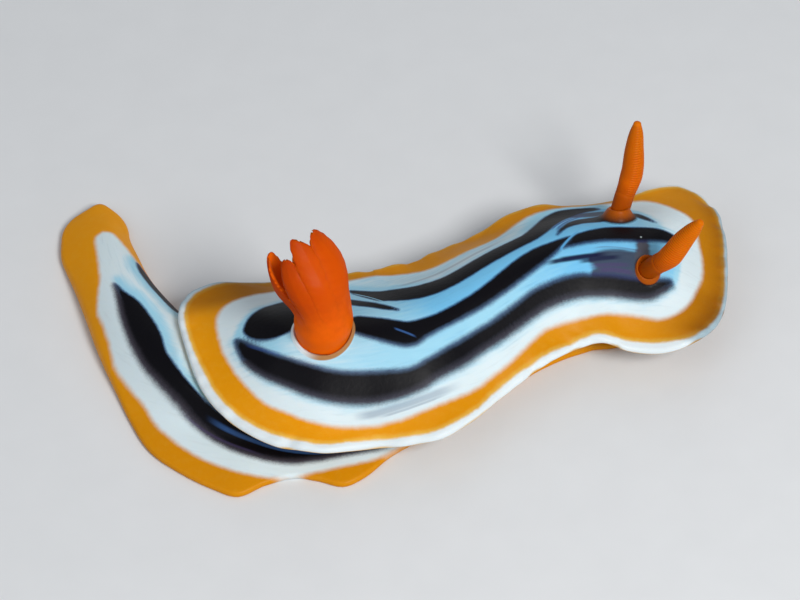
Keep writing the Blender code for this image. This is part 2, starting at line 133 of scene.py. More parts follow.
# %% Lines that bend the body
class PlanLine:
    """A smooth line in plan, by which a flat sheet is laid out and read again."""

    def __init__(self, points, skew=0.0, skew_length=1.0):
        self.path = curve_through(points, 24) + np.array(PLAN_SHIFT)
        steps = np.linalg.norm(np.diff(self.path, axis=0), axis=1)
        self.arc = np.concatenate([[0], np.cumsum(steps)])
        self.length = self.arc[-1]
        heading = np.gradient(self.path, axis=0)
        self.heading = heading / np.linalg.norm(heading, axis=1)[:, None]
        self.skew, self.skew_length = skew, skew_length

    def slant(self, station):
        return self.skew * ease(self.skew_length, 0, station)

    def lay(self, station, across, height):
        """Points in space at these distances along, offsets to the left, and heights."""
        at = station - self.slant(station) * across
        x, y = (np.interp(at, self.arc, self.path[:, i]) for i in (0, 1))
        hx, hy = (np.interp(at, self.arc, self.heading[:, i]) for i in (0, 1))
        beyond = at - np.clip(at, 0, self.length)
        return np.stack([x - hy * across + hx * beyond, y + hx * across + hy * beyond, height + 0 * x], -1)

    def read(self, x, y):
        """The distance along and the offset to the left of points in plan."""
        i = np.concatenate([
            np.argmin((px[:, None] - self.path[:, 0]) ** 2 + (py[:, None] - self.path[:, 1]) ** 2, axis=1)
            for px, py in zip(np.array_split(x, 40), np.array_split(y, 40))
        ])
        dx, dy = x - self.path[i, 0], y - self.path[i, 1]
        hx, hy = self.heading[i].T
        across = dy * hx - dx * hy
        at = self.arc[i] + dx * hx + dy * hy
        station = at
        for _ in range(4):
            station = at + self.slant(station) * across
        return station, across


REAR_SKEW, SKEW_LENGTH = 0.30, 15.0
back = PlanLine(BACK_LINE, REAR_SKEW, SKEW_LENGTH)
sole = PlanLine(SOLE_LINE)
print("back line", round(back.length, 1), "mm, sole line", round(sole.length, 1), "mm")

# %% [markdown]
# The camera comes first, so that every render shows the same view. The photograph looks down on
# the animal at about 48 degrees with a long lens. An empty could aim the camera, but two vectors do it
# as well: one from the animal towards the camera, and one up the picture.

# %% Camera
VIEW_ANGLE = math.radians(48)
CAMERA_DISTANCE = 300.0
MM_PER_PIXEL = 0.085
PICTURE_WIDTH = 800
BACK_MIDDLE = np.array([*PLAN_SHIFT, 4.0])
MIDDLE_TO_RIGHT, MIDDLE_UP = 0.40, 1.85  # of the picture's middle from there, in mm

to_camera = np.array([0, -math.cos(VIEW_ANGLE), math.sin(VIEW_ANGLE)])
up_picture = np.array([0, math.sin(VIEW_ANGLE), math.cos(VIEW_ANGLE)])
aim = BACK_MIDDLE + MIDDLE_TO_RIGHT * np.array([1, 0, 0]) + MIDDLE_UP * up_picture
bpy.ops.object.camera_add(location=(aim + CAMERA_DISTANCE * to_camera) * MM)
camera = bpy.context.object
camera.rotation_euler = Vector(-to_camera).to_track_quat("-Z", "Y").to_euler()
camera.data.sensor_width = 36
camera.data.lens = camera.data.sensor_width * CAMERA_DISTANCE / (PICTURE_WIDTH * MM_PER_PIXEL)
camera.data.clip_start, camera.data.clip_end = 0.01, 10
bpy.context.scene.camera = camera
print("camera lens", round(camera.data.lens, 1), "mm")

# %% [markdown]
# These few helpers are used for every piece. Points are read and moved in millimetres, all at once
# as an array, which is quicker than vertex by vertex. Faces are selected in code, by their place.


# %% Helpers for meshes
def start_clean():
    """Deselects everything, so that the next operator acts on the new piece alone."""
    for obj in bpy.data.objects:
        obj.select_set(False)
    bpy.context.view_layer.objects.active = None


def points_of(obj):
    flat = np.empty(len(obj.data.vertices) * 3, np.float32)
    obj.data.vertices.foreach_get("co", flat)
    return flat.reshape(-1, 3).astype(float) / MM


def move_points(obj, points):
    obj.data.vertices.foreach_set("co", (np.asarray(points) * MM).astype(np.float32).ravel())
    obj.data.update()


def in_edit_mode(obj, *steps):
    """Runs edit-mode steps on a piece, with all of it selected at the start."""
    bpy.context.view_layer.objects.active = obj
    obj.select_set(True)
    bpy.ops.object.mode_set(mode="EDIT")
    bpy.ops.mesh.select_all(action="SELECT")
    for step in steps:
        step()
    bpy.ops.object.mode_set(mode="OBJECT")

# %% [markdown]
# A soft skin needs small faces only where it has small forms. By hand one would select those faces and
# subdivide them. Here they are selected by their place, and the same operator subdivides them.

# %% Helpers for choosing faces
def select_where(obj, keep):
    """Selects the faces whose corners all pass, where keep is an array of one truth for each vertex."""
    corner = np.empty(len(obj.data.loops), int)
    obj.data.loops.foreach_get("vertex_index", corner)
    first = np.empty(len(obj.data.polygons), int)
    obj.data.polygons.foreach_get("loop_start", first)
    chosen = np.minimum.reduceat(keep[corner].astype(int), first).astype(bool)
    obj.data.vertices.foreach_set("select", np.zeros(len(obj.data.vertices), bool))
    obj.data.edges.foreach_set("select", np.zeros(len(obj.data.edges), bool))
    obj.data.polygons.foreach_set("select", chosen)
    obj.data.update()


def refine(obj, keep, cuts):
    """Subdivides the part of a mesh whose vertices pass."""
    bpy.context.view_layer.objects.active = obj
    obj.select_set(True)
    bpy.ops.object.mode_set(mode="EDIT")
    bpy.ops.mesh.select_mode(type="FACE")
    bpy.ops.mesh.select_all(action="DESELECT")
    bpy.ops.object.mode_set(mode="OBJECT")
    select_where(obj, keep)
    bpy.ops.object.mode_set(mode="EDIT")
    bpy.ops.mesh.subdivide(number_cuts=cuts)
    bpy.ops.mesh.select_mode(type="VERT")
    bpy.ops.object.mode_set(mode="OBJECT")

# %% [markdown]
# The mantle, the body and each gill plume start from the same blank: a flat grid, and a second one that
# is extruded below it. When a piece has its shape, the points that meet are merged and its faces are
# turned outwards.

# %% The blank of a soft sheet
def flat_slab(name, columns, rows):
    """A flat grid with a second one below it and a wall between: the blank of a soft sheet."""
    start_clean()
    bpy.ops.mesh.primitive_grid_add(x_subdivisions=columns, y_subdivisions=rows, size=2)
    slab = bpy.context.object
    slab.name = slab.data.name = name
    drop = {"value": (0, 0, -1)}
    in_edit_mode(slab, lambda: bpy.ops.mesh.extrude_region_move(TRANSFORM_OT_translate=drop))
    flat = points_of(slab) * MM
    return slab, flat[:, 0], flat[:, 1], flat[:, 2] < -0.5


def close_and_face_out(obj):
    """Merges points that meet and turns all faces outwards."""
    in_edit_mode(
        obj,
        lambda: bpy.ops.mesh.remove_doubles(threshold=2e-6),
        lambda: bpy.ops.mesh.normals_make_consistent(inside=False),
    )
    obj.data.shade_smooth()


def crowd(t):
    """Moves evenly spaced shares from -1 to 1 closer together towards both ends."""
    return t * (1 + 0.35 * (1 - t * t))


# %% [markdown]
# The mantle is the soft sheet over the back, with a rounded rim and a rim that waves. A plane with a
# Solidify modifier could make it, but its thickness runs out towards the rim, so it starts as a flat grid
# with a second one extruded below it. The grid's square is first drawn out to the mantle's own flat
# outline. A square grid has no pole, so no pinched point shows on the smooth skin.

# %% Sizes of the mantle
NEAR_REACH = [
    (7.6, 8.95), (10.5, 9.25), (12.5, 8.9), (14, 8.85), (16.5, 9.35), (18.5, 9.5), (19.5, 9.05), (21.5, 7.95),
    (23.5, 7.6), (28, 7.6), (31, 7.6), (34.5, 7.95), (37.5, 8.65), (40.5, 8.9), (44, 8.9),
]
FAR_REACH = [
    (7.6, 9.4), (10.5, 9.9), (12.5, 9.9), (15, 9.75), (17, 9.4), (18.5, 9.25), (20.5, 9.25), (22, 9.05),
    (23.5, 8.6), (26, 8.25), (29, 8.1), (30.5, 8.0), (33.5, 8.3), (35, 8.3), (37.5, 7.7), (39.5, 8.2),
    (41.5, 8.85), (43.5, 9.55), (44.5, 9.9),
]
NEAR_RIM = [(0, 4.6), (8, 3.9), (18, 3.9), (27, 4.2), (33, 4.5), (39, 3.9), (48, 4.2)]
FAR_RIM = [
    (0, 4.6), (8, 4.4), (15, 4.5), (19.5, 5.2), (24, 4.5), (29, 4.4), (34.5, 4.5), (41, 4.6), (48, 4.4),
]
CREST = [(0, 7.0), (5, 7.8), (11, 8.5), (24, 8.6), (34, 8.5), (41, 8.1), (48, 6.8)]
REAR_CAP, FRONT_CAP = 8.5, 6.8
NEAR_BLUNTNESS, FAR_BLUNTNESS = (2.2, 2.7), (3.6, 3.2)  # of the rear and front ends
RIM_THICKNESS, MANTLE_THICKNESS = 0.6, 1.6
ROUND_SHARE = 0.75
RUFFLE_HEIGHT, RUFFLE_LENGTH, RUFFLE_SLANT = 0.25, 9.5, 0.5
RUFFLE_START, THINNING_START = 0.5, 0.55


def by_side(v, far, near):
    return np.where(v > 0, far, near)


def mantle_width(u, v):
    return by_side(v, along(FAR_REACH, u), along(NEAR_REACH, u))


def bluntness(v, end):
    return by_side(v, FAR_BLUNTNESS[end], NEAR_BLUNTNESS[end])

# %% [markdown]
# Both ends of the mantle are rounded, and blunter than a circle. Everything that follows the rim, such
# as its thickness and its bands of colour, needs the distance from the rim, so that comes next.

# %% Distances on the mantle
def mantle_end(u, v):
    """How far a station lies into a rounded end, that end's length, and its bluntness."""
    rear = u < REAR_CAP
    cap = np.where(rear, REAR_CAP, FRONT_CAP)
    into = np.maximum(0, np.where(rear, REAR_CAP - u, u - back.length + FRONT_CAP)) / cap
    blunt = np.where(rear, bluntness(v, 0), bluntness(v, 1))
    return into, cap, blunt


def outness(u, v):
    """0 on the mantle's middle line, 1 at its rim, and more beyond it."""
    into, _, blunt = mantle_end(u, v)
    return (into**blunt + (np.abs(v) / mantle_width(u, v)) ** blunt) ** (1 / blunt)


def from_edge(into, share, cap, width, blunt):
    """Distance inwards from a rounded outline, from the two shares that say how far out a point is."""
    out = np.maximum((into**blunt + share**blunt) ** (1 / blunt), 1e-6)
    steepness = np.hypot((into / out) ** (blunt - 1) / cap, (share / out) ** (blunt - 1) / width)
    return (1 - out) / np.maximum(steepness, 0.02)


def from_rim(u, v):
    """Distance inwards from the mantle's rim, in mm."""
    into, cap, blunt = mantle_end(u, v)
    width = mantle_width(u, v)
    return from_edge(into, np.abs(v) / width, cap, width, blunt)


def rounded_end(p, q, blunt):
    """Draws a square grid out to a rounded end with no pole: shares into the end and across it."""
    into = p * (1 - np.abs(q) ** blunt / 2) ** (1 / blunt)
    return into, q * (1 - p**blunt / 2) ** (1 / blunt)

# %% [markdown]
# The back is a rounded ridge that falls off to a thin, softly waving rim. The near and the far rim have
# their own heights, as the soft rim lifts here and sags there.

# %% Heights of the mantle
def mantle_level(u, v):
    """Height of the mantle's upper face, before the small swellings on it."""
    out = np.minimum(1.0, outness(u, v))
    fall = ROUND_SHARE * np.cos(math.pi / 2 * out) ** 2 + (1 - ROUND_SHARE) * (1 - out**2)
    near, far = along(NEAR_RIM, u), along(FAR_RIM, u)
    level = near + (far - near) * ease(-1, 1, v / mantle_width(u, v))
    ruffle = RUFFLE_HEIGHT * np.sin(2 * math.pi * u / RUFFLE_LENGTH + RUFFLE_SLANT * v)
    return level + (along(CREST, u) - level) * fall + ruffle * ease(RUFFLE_START, 1.0, out)


def mantle_depth(u, v):
    """Thickness of the mantle."""
    share = ease(1.0, THINNING_START, outness(u, v))
    return RIM_THICKNESS + (MANTLE_THICKNESS - RIM_THICKNESS) * share


def mantle_under(x, y):
    """Height of the mantle's lower face over points in plan, and the distance inwards from its rim."""
    u, v = back.read(x, y)
    return mantle_level(u, v) - mantle_depth(u, v), from_rim(u, v)


# %% [markdown]
# Where the two feelers and the gills stand, the skin swells up into a low sleeve. The sleeves could be
# rings of their own, but a seam would show round them, so they are part of the skin's height.
# The grid is too wide there for a wall of half a millimetre, so its faces are subdivided near them.

# %% Sleeves round the feelers and the gills
FEELER_FEET = {"left": (19.54, 8.9), "right": (21.84, 2.6)}
GILL_CENTRE = (-5.61, -5.35)
# Radius of the sleeve's lip, its height, and how far it slopes off inside and outside.
SLEEVES = {
    "left": (FEELER_FEET["left"], 0.8, 1.2, 0.5, 0.5),
    "right": (FEELER_FEET["right"], 0.95, 0.5, 0.08, 0.1),
    "gills": (GILL_CENTRE, 2.47, 0.28, 0.1, 0.14),
}


def sleeve_height(x, y):
    """How much the sleeves raise the skin at points in plan."""
    rise = 0 * x
    for centre, radius, height, inside, outside in SLEEVES.values():
        r = np.hypot(x - centre[0], y - centre[1])
        wall = height * np.exp(-(((r - radius) / np.where(r > radius, outside, inside)) ** 2))
        rise = np.maximum(rise, wall)
    return rise


# %% [markdown]
# Now the mantle itself. The flat grid takes its outline first, then the faces near the sleeves are
# subdivided, and last every point gets its height and is carried onto the bent back line. The rim of the
# living mantle is never quite even, so a few small waves of different lengths run round it.

# %% The mantle
MANTLE_COLUMNS, MANTLE_ROWS = 236, 104
MANTLE_SLIMNESS = 2.2  # length over width, for the waves that run round the rim
WAVY_RIM = 1.6  # how far in the waves reach
SCALLOP_HEIGHT, FRONT_SCALLOP_HEIGHT = 0.055, 0.05  # everywhere, and added at the front
INNER_BEND = 19.6  # the station of the sharpest bend, where the far rim is too crowded for waves


def cut_mantle_outline(a, b):
    """Draws the square grid out to the mantle's outline, as distances along and across the back line."""
    plain = (a + 1) / 2 * back.length
    rear, front = plain < REAR_CAP, plain > back.length - FRONT_CAP
    q = crowd(b)
    blunt = np.where(rear, bluntness(b, 0), bluntness(b, 1))
    cap = np.where(rear, REAR_CAP, FRONT_CAP)
    p = np.where(rear, REAR_CAP - plain, np.where(front, plain - back.length + FRONT_CAP, 0)) / cap
    into, share = rounded_end(crowd(p), q, blunt)
    u = np.where(rear, REAR_CAP * (1 - into), np.where(front, back.length - FRONT_CAP * (1 - into), plain))
    return u, share * mantle_width(u, b)


def scallops(u, v):
    """Small uneven waves of the rim, in mm."""
    turn = np.arctan2(v, (u - back.length / 2) / MANTLE_SLIMNESS)
    wave = np.sin(23 * turn + 1.3) + 0.7 * np.sin(37 * turn + 0.4 * u) + 0.5 * np.sin(61 * turn + 2.0)
    inner_bend = (v > 0) * ease(3.5, 1.5, np.abs(u - INNER_BEND))
    return wave * (SCALLOP_HEIGHT + FRONT_SCALLOP_HEIGHT * ease(44, 47, u)) * (1 - inner_bend)


def make_mantle():
    mantle, a, b, below = flat_slab("mantle_sheet", MANTLE_COLUMNS, MANTLE_ROWS)
    u, v = cut_mantle_outline(a, b)
    move_points(mantle, np.stack([u, v, np.where(below, -1.0, 0.0)], -1))
    for centre, radius, _, _, outside in SLEEVES.values():
        flat = points_of(mantle)
        plan = back.lay(flat[:, 0], flat[:, 1], 0)
        near_sleeve = np.hypot(plan[:, 0] - centre[0], plan[:, 1] - centre[1]) < radius + 0.25 + 1.6 * outside
        refine(mantle, near_sleeve & (flat[:, 2] > -0.5), 2)
    u, v, layer = points_of(mantle).T
    edge = from_rim(u, v)
    half = RIM_THICKNESS / 2
    drop = half * (1 - np.sqrt(1 - np.clip(1 - edge / half, 0, 1) ** 2))
    top = mantle_level(u, v)
    plan = back.lay(u, v, 0)
    near_rim = ease(WAVY_RIM, 0.0, edge)
    wave = scallops(u, v)
    upper = top - drop + sleeve_height(plan[:, 0], plan[:, 1])
    lower = top - mantle_depth(u, v) + drop
    height = np.where(layer < -0.5, lower, upper) + wave * near_rim
    outwards = 1 + wave * near_rim / mantle_width(u, v)
    move_points(mantle, back.lay(u, v * outwards, height))
    close_and_face_out(mantle)
    return mantle


mantle = make_mantle()
print("mantle:", len(mantle.data.polygons), "faces")

# %% [markdown]
# Below the mantle are the trunk, the foot and the long tail, one soft body on a flat sole. It is a
# height over the sole line and starts as the same flat slab. Its flanks are steep, so the columns
# of the grid are spread by the length of the section's own curve, which keeps the faces even.

# %% Sizes of the body
NEAR_FOOT = [
    (3.5, 3.25), (5.5, 3.33), (7, 3.1), (9.5, 2.88), (12, 3.05), (14.5, 3.5), (17, 4.25), (19, 5.3),
    (21, 6.9), (23, 8.75), (25, 9.95), (27, 10.95), (28.5, 11.4), (30, 10.0), (31.7, 9.1), (33, 9.45),
    (34.7, 10.25), (36, 9.6), (38, 7.8), (39, 7.2), (42, 6.2), (47, 5.5), (60, 5.6),
]
FAR_FOOT = [
    (3.5, 2.75), (5, 2.98), (7, 3.3), (9, 3.48), (11, 3.68), (14, 4.1), (20, 4.6), (26, 6.4), (34, 6.8),
    (46, 6.0), (60, 5.8),
]
RIDGE_OFFSET = [(0, 0.2), (4, 0.8), (10, 1.3), (18, 1.0), (26, 0.3), (32, 0)]
NEAR_TRUNK = [(0, 1.3), (5, 2.2), (11, 3.0), (17, 3.7), (24, 4.7), (34, 5.2), (44, 4.5), (63, 4.1)]
FAR_TRUNK = [(0, 1.1), (5, 1.4), (11, 1.6), (17, 2.4), (24, 4.2), (34, 5.2), (44, 4.6), (63, 4.2)]
TRUNK_HEIGHT = [
    (0, 0.9), (3, 1.8), (7, 2.7), (12, 3.4), (18, 3.8), (22, 4.2), (26, 5.6), (32, 7.4), (63, 7.4),
]
FLANK_STEEPNESS = [(0, 2.0), (12, 2.2), (18, 2.8), (26, 6.0), (34, 9.0), (63, 9.0)]
TAIL_CAP, FOOT_CAP, FOOT_END = 3.5, 5.5, 66.0
TAIL_POINT, TAIL_POINT_WIDTH, TAIL_POINT_REACH = 0.5, 0.9, 1.5
FOOT_RIM, FOOT_SWELL = 0.55, 1.15
TRUNK_FADE = (60.5, 63.5)  # stations between which the trunk goes over into the head
TUCK = (-0.25, 0.7)  # height of the trunk above the mantle's lower face, at the rim and further in
BODY_COLUMNS, BODY_ROWS = 250, 84

# %% [markdown]
# The foot is a low flat skirt, and the trunk stands on it like a wall under the mantle. Behind the
# mantle the trunk sinks down to the rounded ridge of the tail.

# %% Heights of the body
def foot_width(s, v):
    return by_side(v, along(FAR_FOOT, s), along(NEAR_FOOT, s))


def foot_end(s):
    into = np.maximum(0, np.maximum(1 - s / TAIL_CAP, (s - FOOT_END + FOOT_CAP) / FOOT_CAP))
    return into, np.where(s < TAIL_CAP, TAIL_CAP, FOOT_CAP)


def from_foot_rim(s, v):
    into, cap = foot_end(s)
    width = foot_width(s, v)
    return from_edge(np.minimum(into, 1), np.abs(v) / width, cap, width, 2.0)


def body_height(s, v):
    """Height of the foot, trunk and tail, tucked into the mantle where it covers them."""
    into, _ = foot_end(s)
    reach = foot_width(s, v) * np.sqrt(np.maximum(1e-4, 1 - into**2))
    out = np.minimum(1.0, np.abs(v) / reach)
    height = along(TRUNK_HEIGHT, s)
    foot = FOOT_RIM + FOOT_SWELL * (1 - out**2) * np.minimum(1.0, height / 3)
    from_ridge = v - along(RIDGE_OFFSET, s)
    half = by_side(from_ridge, along(FAR_TRUNK, s), along(NEAR_TRUNK, s))
    flank = 0.5 ** (np.abs(from_ridge) / half) ** along(FLANK_STEEPNESS, s)
    top = foot + np.maximum(height - foot, 0) * flank * ease(TRUNK_FADE[1], TRUNK_FADE[0], s)
    plan = sole.lay(s, v, 0).reshape(-1, 3)
    under, edge = (each.reshape(s.shape) for each in mantle_under(plan[:, 0], plan[:, 1]))
    tuck = TUCK[0] + (TUCK[1] - TUCK[0]) * ease(0.3, 2.6, edge) + 0.5 * np.maximum(0, -edge)
    return np.minimum(top, np.maximum(under + tuck, foot))


def even_across(columns, rows):
    """For each column of the grid, the shares across at which its rows stand evenly on the section."""
    s = np.linspace(0, FOOT_END, columns)
    share = np.linspace(-1, 1, 241)
    s_all, share_all = np.meshgrid(s, share, indexing="ij")
    v = share_all * foot_width(s_all, share_all)
    height = body_height(s_all, v)
    step = np.hypot(np.diff(v, axis=1), np.diff(height, axis=1))
    step *= 1 + 2.2 * np.exp(-((1 - np.abs(share_all[:, 1:])) / 0.05))
    length = np.concatenate([np.zeros((columns, 1)), np.cumsum(step, axis=1)], axis=1)
    wanted = np.linspace(0, 1, rows)
    return s, np.array([np.interp(wanted * row[-1], row, share) for row in length])

# %% [markdown]
# The slab takes the outline of the foot and then its heights. Its underside stays on the floor, apart
# from the small round of its edge.

# %% The body
def make_body():
    body, a, b, below = flat_slab("body_blank", BODY_COLUMNS, BODY_ROWS)
    columns, rows = len(np.unique(a.round(6))), len(np.unique(b.round(6)))
    _, shares = even_across(columns, rows)
    column = ((a + 1) / 2 * (columns - 1)).round().astype(int)
    row = ((b + 1) / 2 * (rows - 1)).round().astype(int)
    plain = (a + 1) / 2 * FOOT_END
    rear, front = plain < TAIL_CAP, plain > FOOT_END - FOOT_CAP
    p = np.where(rear, 1 - plain / TAIL_CAP, np.where(front, (plain - FOOT_END + FOOT_CAP) / FOOT_CAP, 0))
    into, share = rounded_end(crowd(p), shares[column, row], 2.0)
    s = np.where(rear, TAIL_CAP * (1 - into), np.where(front, FOOT_END - FOOT_CAP * (1 - into), plain))
    v = share * foot_width(s, share)
    half = FOOT_RIM / 2
    drop = half * (1 - np.sqrt(1 - np.clip(1 - from_foot_rim(s, v) / half, 0, 1) ** 2))
    points = sole.lay(s, v, np.where(below, drop, body_height(s, v) - drop))
    nib = TAIL_POINT * np.exp(-((v / TAIL_POINT_WIDTH) ** 2)) * ease(TAIL_POINT_REACH, 0, s)
    points[:, 1] += nib
    move_points(body, points)
    close_and_face_out(body)
    return body


body = make_body()
print("body:", len(body.data.polygons), "faces")

# %% [markdown]
# The head is a small soft snout between the mantle and the front of the foot, with a mouth and two short
# oral tentacles. The camera hardly sees it, but from the front it is the animal's face. A UV sphere is
# laid along the sole line as a blunt snout. The faces round the mouth are subdivided before the mouth is
# pressed in.

# %% The head
HEAD_START, HEAD_LENGTH, HEAD_BURIED = 61.0, 5.5, 3.5
HEAD_HALF_WIDTH, HEAD_MIDDLE, HEAD_HALF_HEIGHT = 3.9, 3.5, 1.75
MOUTH = (66.4, 0.0, 3.0)  # station, offset and height
MOUTH_HALF_WIDTH, MOUTH_HALF_HEIGHT, MOUTH_DEPTH, LIP_HEIGHT = 0.36, 0.62, 0.6, 0.16


def blunted(t, power):
    return np.sign(t) * np.abs(t) ** power


def make_head():
    start_clean()
    bpy.ops.mesh.primitive_uv_sphere_add(segments=72, ring_count=44, radius=1)
    head = bpy.context.object
    x, y, z = (points_of(head) * MM).T
    s = HEAD_START + x * np.where(x > 0, HEAD_LENGTH, HEAD_BURIED)
    narrow = 1 - 0.12 * ease(0.2, 1.0, x)
    height = HEAD_MIDDLE + HEAD_HALF_HEIGHT * blunted(z, 0.85) + 0.25 * (1 - x) * (z > 0) * z
    move_points(head, np.stack([s, HEAD_HALF_WIDTH * narrow * blunted(y, 0.9), height], -1))
    for reach in (2.4, 1.3):
        s, v, z = points_of(head).T
        near_mouth = np.hypot(v - MOUTH[1], z - MOUTH[2]) < reach
        refine(head, near_mouth & (s > HEAD_START + HEAD_LENGTH / 2), 1)
    s, v, z = points_of(head).T
    r = np.hypot((v - MOUTH[1]) / MOUTH_HALF_WIDTH, (z - MOUTH[2]) / MOUTH_HALF_HEIGHT)
    front = s > HEAD_START + HEAD_LENGTH / 2
    pit = -MOUTH_DEPTH * np.exp(-(r**2)) + LIP_HEIGHT * np.exp(-(((r - 1.6) / 0.7) ** 2))
    cheek = 0.14 * np.sin(v * 2.4) * np.sin(z * 2.0) * ease(1.5, 4, r)
    move_points(head, sole.lay(s + (pit + cheek) * front, v, z))
    head.name = head.data.name = "head_blank"
    close_and_face_out(head)
    return head


head = make_head()
print("head:", len(head.data.polygons), "faces")

# %% [markdown]
# The oral tentacles and the feelers are round pieces of changing width. Each is drawn out as a potter
# would pull a stem: a disc is extruded upwards ring by ring, and each new ring is scaled to its own
# radius. The straight piece is then bent along its own line, by carrying each ring to its place there.


# %% Helpers for stems
def pull_stem(name, rings, sides):
    """Extrudes a disc upwards through (height, radius) rings and closes the top."""
    start_clean()
    height, radius = rings[0]
    bpy.ops.mesh.primitive_circle_add(
        vertices=sides, radius=radius * MM, fill_type="NGON", location=(0, 0, height * MM)
    )
    bpy.ops.object.transform_apply(location=True)
    stem = bpy.context.object
    stem.name = stem.data.name = name
    bpy.ops.object.mode_set(mode="EDIT")
    for (low, before), (high, after) in zip(rings, rings[1:]):
        bpy.ops.mesh.extrude_region_move(TRANSFORM_OT_translate={"value": (0, 0, (high - low) * MM)})
        bpy.ops.transform.resize(value=(after / before, after / before, 1))
    bpy.ops.object.mode_set(mode="OBJECT")
    return stem


def bend_along(obj, line, length):
    """Carries a straight stem, which stands on the origin and is this long, to a line in space."""
    path = curve_through(line, 24)
    arc = np.concatenate([[0], np.cumsum(np.linalg.norm(np.diff(path, axis=0), axis=1))])
    heading = np.gradient(path, axis=0)
    heading /= np.linalg.norm(heading, axis=1)[:, None]
    x, y, z = points_of(obj).T
    at = z / length * arc[-1]
    place = np.stack([np.interp(at, arc, path[:, i]) for i in range(3)], -1)
    way = np.stack([np.interp(at, arc, heading[:, i]) for i in range(3)], -1)
    way /= np.linalg.norm(way, axis=1)[:, None]
    beyond = at - np.clip(at, 0, arc[-1])
    side = np.cross(way, (0.0, 1.0, 0.0))
    side /= np.linalg.norm(side, axis=1)[:, None]
    move_points(obj, place + x[:, None] * side + y[:, None] * np.cross(way, side) + beyond[:, None] * way)


# %% [markdown]
# The two oral tentacles are the small blunt feelers beside the mouth, with which the slug tastes its way.
# They are short and smooth, so a pulled stem with a round tip is all that they need.

# %% Oral tentacles
TENTACLE_ROOT, TENTACLE_TIP = (64.6, 0.6, 3.1), (68.1, 0.98, 2.1)  # station, share across, height
TENTACLE_RADIUS = 0.48
TENTACLE_SHAPE = [(0, 1.15), (0.3, 1.0), (0.7, 0.8), (0.88, 0.6), (0.96, 0.36), (1, 0.08)]


def make_oral_tentacle(side):
    ends = np.array([
        sole.lay(np.array([s]), np.array([side * HEAD_HALF_WIDTH * share]), z)[0]
        for s, share, z in (TENTACLE_ROOT, TENTACLE_TIP)
    ])
    middle = ends.mean(0) + np.array([0, 0, 0.22])
    length = np.linalg.norm(ends[1] - ends[0])
    shares = 1 - (1 - np.linspace(0, 1, 22)) ** 1.5
    rings = [(t * length, TENTACLE_RADIUS * float(along(TENTACLE_SHAPE, t))) for t in shares]
    stem = pull_stem("oral_tentacle_blank", rings, 28)
    bend_along(stem, [ends[0], middle, ends[1]], length)
    close_and_face_out(stem)
    return stem


tentacles = [make_oral_tentacle(side) for side in (-1, 1)]
print("oral tentacles:", len(tentacles))

# %% [markdown]
# On the living animal these are one skin without a seam. Joining the meshes would leave walls inside,
# so a Boolean modifier unites them, and is applied. The sharp crease that it leaves under the mantle
# is smoothed a little, as skin has no sharp inner corner.

# %% One skin
CREASE_WIDTH = 0.45


def unite(base, others):
    """Unites closed pieces into the first with Boolean modifiers, and removes the others."""
    start_clean()
    bpy.context.view_layer.objects.active = base
    for other in others:
        cut = base.modifiers.new("unite", "BOOLEAN")
        cut.operation, cut.solver, cut.object = "UNION", "EXACT", other
        bpy.ops.object.modifier_apply(modifier=cut.name)
        bpy.data.objects.remove(other)
    base.name = base.data.name = "body_skin"
    return base


def soften_crease(skin):
    """Smooths the corner between the trunk and the underside of the mantle."""
    x, y, z = points_of(skin).T
    under, edge = mantle_under(x, y)
    crease = (np.abs(z - under) < CREASE_WIDTH) & (edge > 1.6)
    skin.vertex_groups.new(name="crease").add(np.flatnonzero(crease).tolist(), 1.0, "REPLACE")
    smooth = skin.modifiers.new("soften", "SMOOTH")
    smooth.factor, smooth.iterations, smooth.vertex_group = 0.5, 6, "crease"
    bpy.context.view_layer.objects.active = skin
    bpy.ops.object.modifier_apply(modifier=smooth.name)
    skin.vertex_groups.clear()


skin = unite(mantle, [body, head, *tentacles])
soften_crease(skin)
skin.data.shade_smooth()
print("skin:", len(skin.data.polygons), "faces")

# %% [markdown]
# The stripes follow the body, so they are drawn in the mantle's own flat map: distance along the back
# line and distance across it. Each stripe is a smooth line with a half width that changes along it.
# A painted image could hold them, but an image has a grain. Here each vertex only learns how many
# millimetres it lies inside a stripe or a band, and the material turns those distances into edges.

# %% Stripes of the mantle, as (along, across, half width)
NEAR_STRIPE = [
    (4.2, 1.0, 0.2), (4.5, 0.2, 0.5), (5, -1.0, 0.8), (6, -2.25, 0.95), (7.3, -3.1, 1.0), (9.3, -3.85, 1.02),
    (11.7, -4.45, 1.0), (14.9, -4.85, 0.98), (17.3, -4.95, 0.78), (18.9, -4.5, 0.68), (20.5, -4.1, 0.7),
    (22.2, -3.85, 0.65), (24, -3.75, 0.65), (28, -3.55, 0.68), (30, -3.42, 0.72), (34, -3.62, 0.76),
    (36, -3.9, 0.72), (38, -4.1, 0.7), (40, -4.25, 0.68), (41.5, -4.3, 0.65), (42.6, -4.0, 0.5),
    (43.5, -3.6, 0.25),
]
REAR_PATCH = [(5.5, 1.7, 0.6), (6.3, 1.6, 1.35), (7.2, 1.75, 2.0), (8.3, 2.6, 2.1), (9.5, 3.3, 2.0)]
MIDDLE_STRIPE = [
    (14.2, 0.2, 1.0), (15.7, -0.5, 1.08), (17.2, -1.25, 1.08), (18, -1.55, 1.05), (19, -1.42, 0.82),
    (20.5, -1.32, 0.66), (22.2, -1.3, 0.64), (24, -1.27, 0.66), (26, -1.15, 0.72), (28, -0.95, 0.8),
    (30, -0.6, 0.86), (31.5, -0.35, 0.83), (33, -0.1, 0.62), (34, 0.2, 0.38), (35, 0.55, 0.12),
]
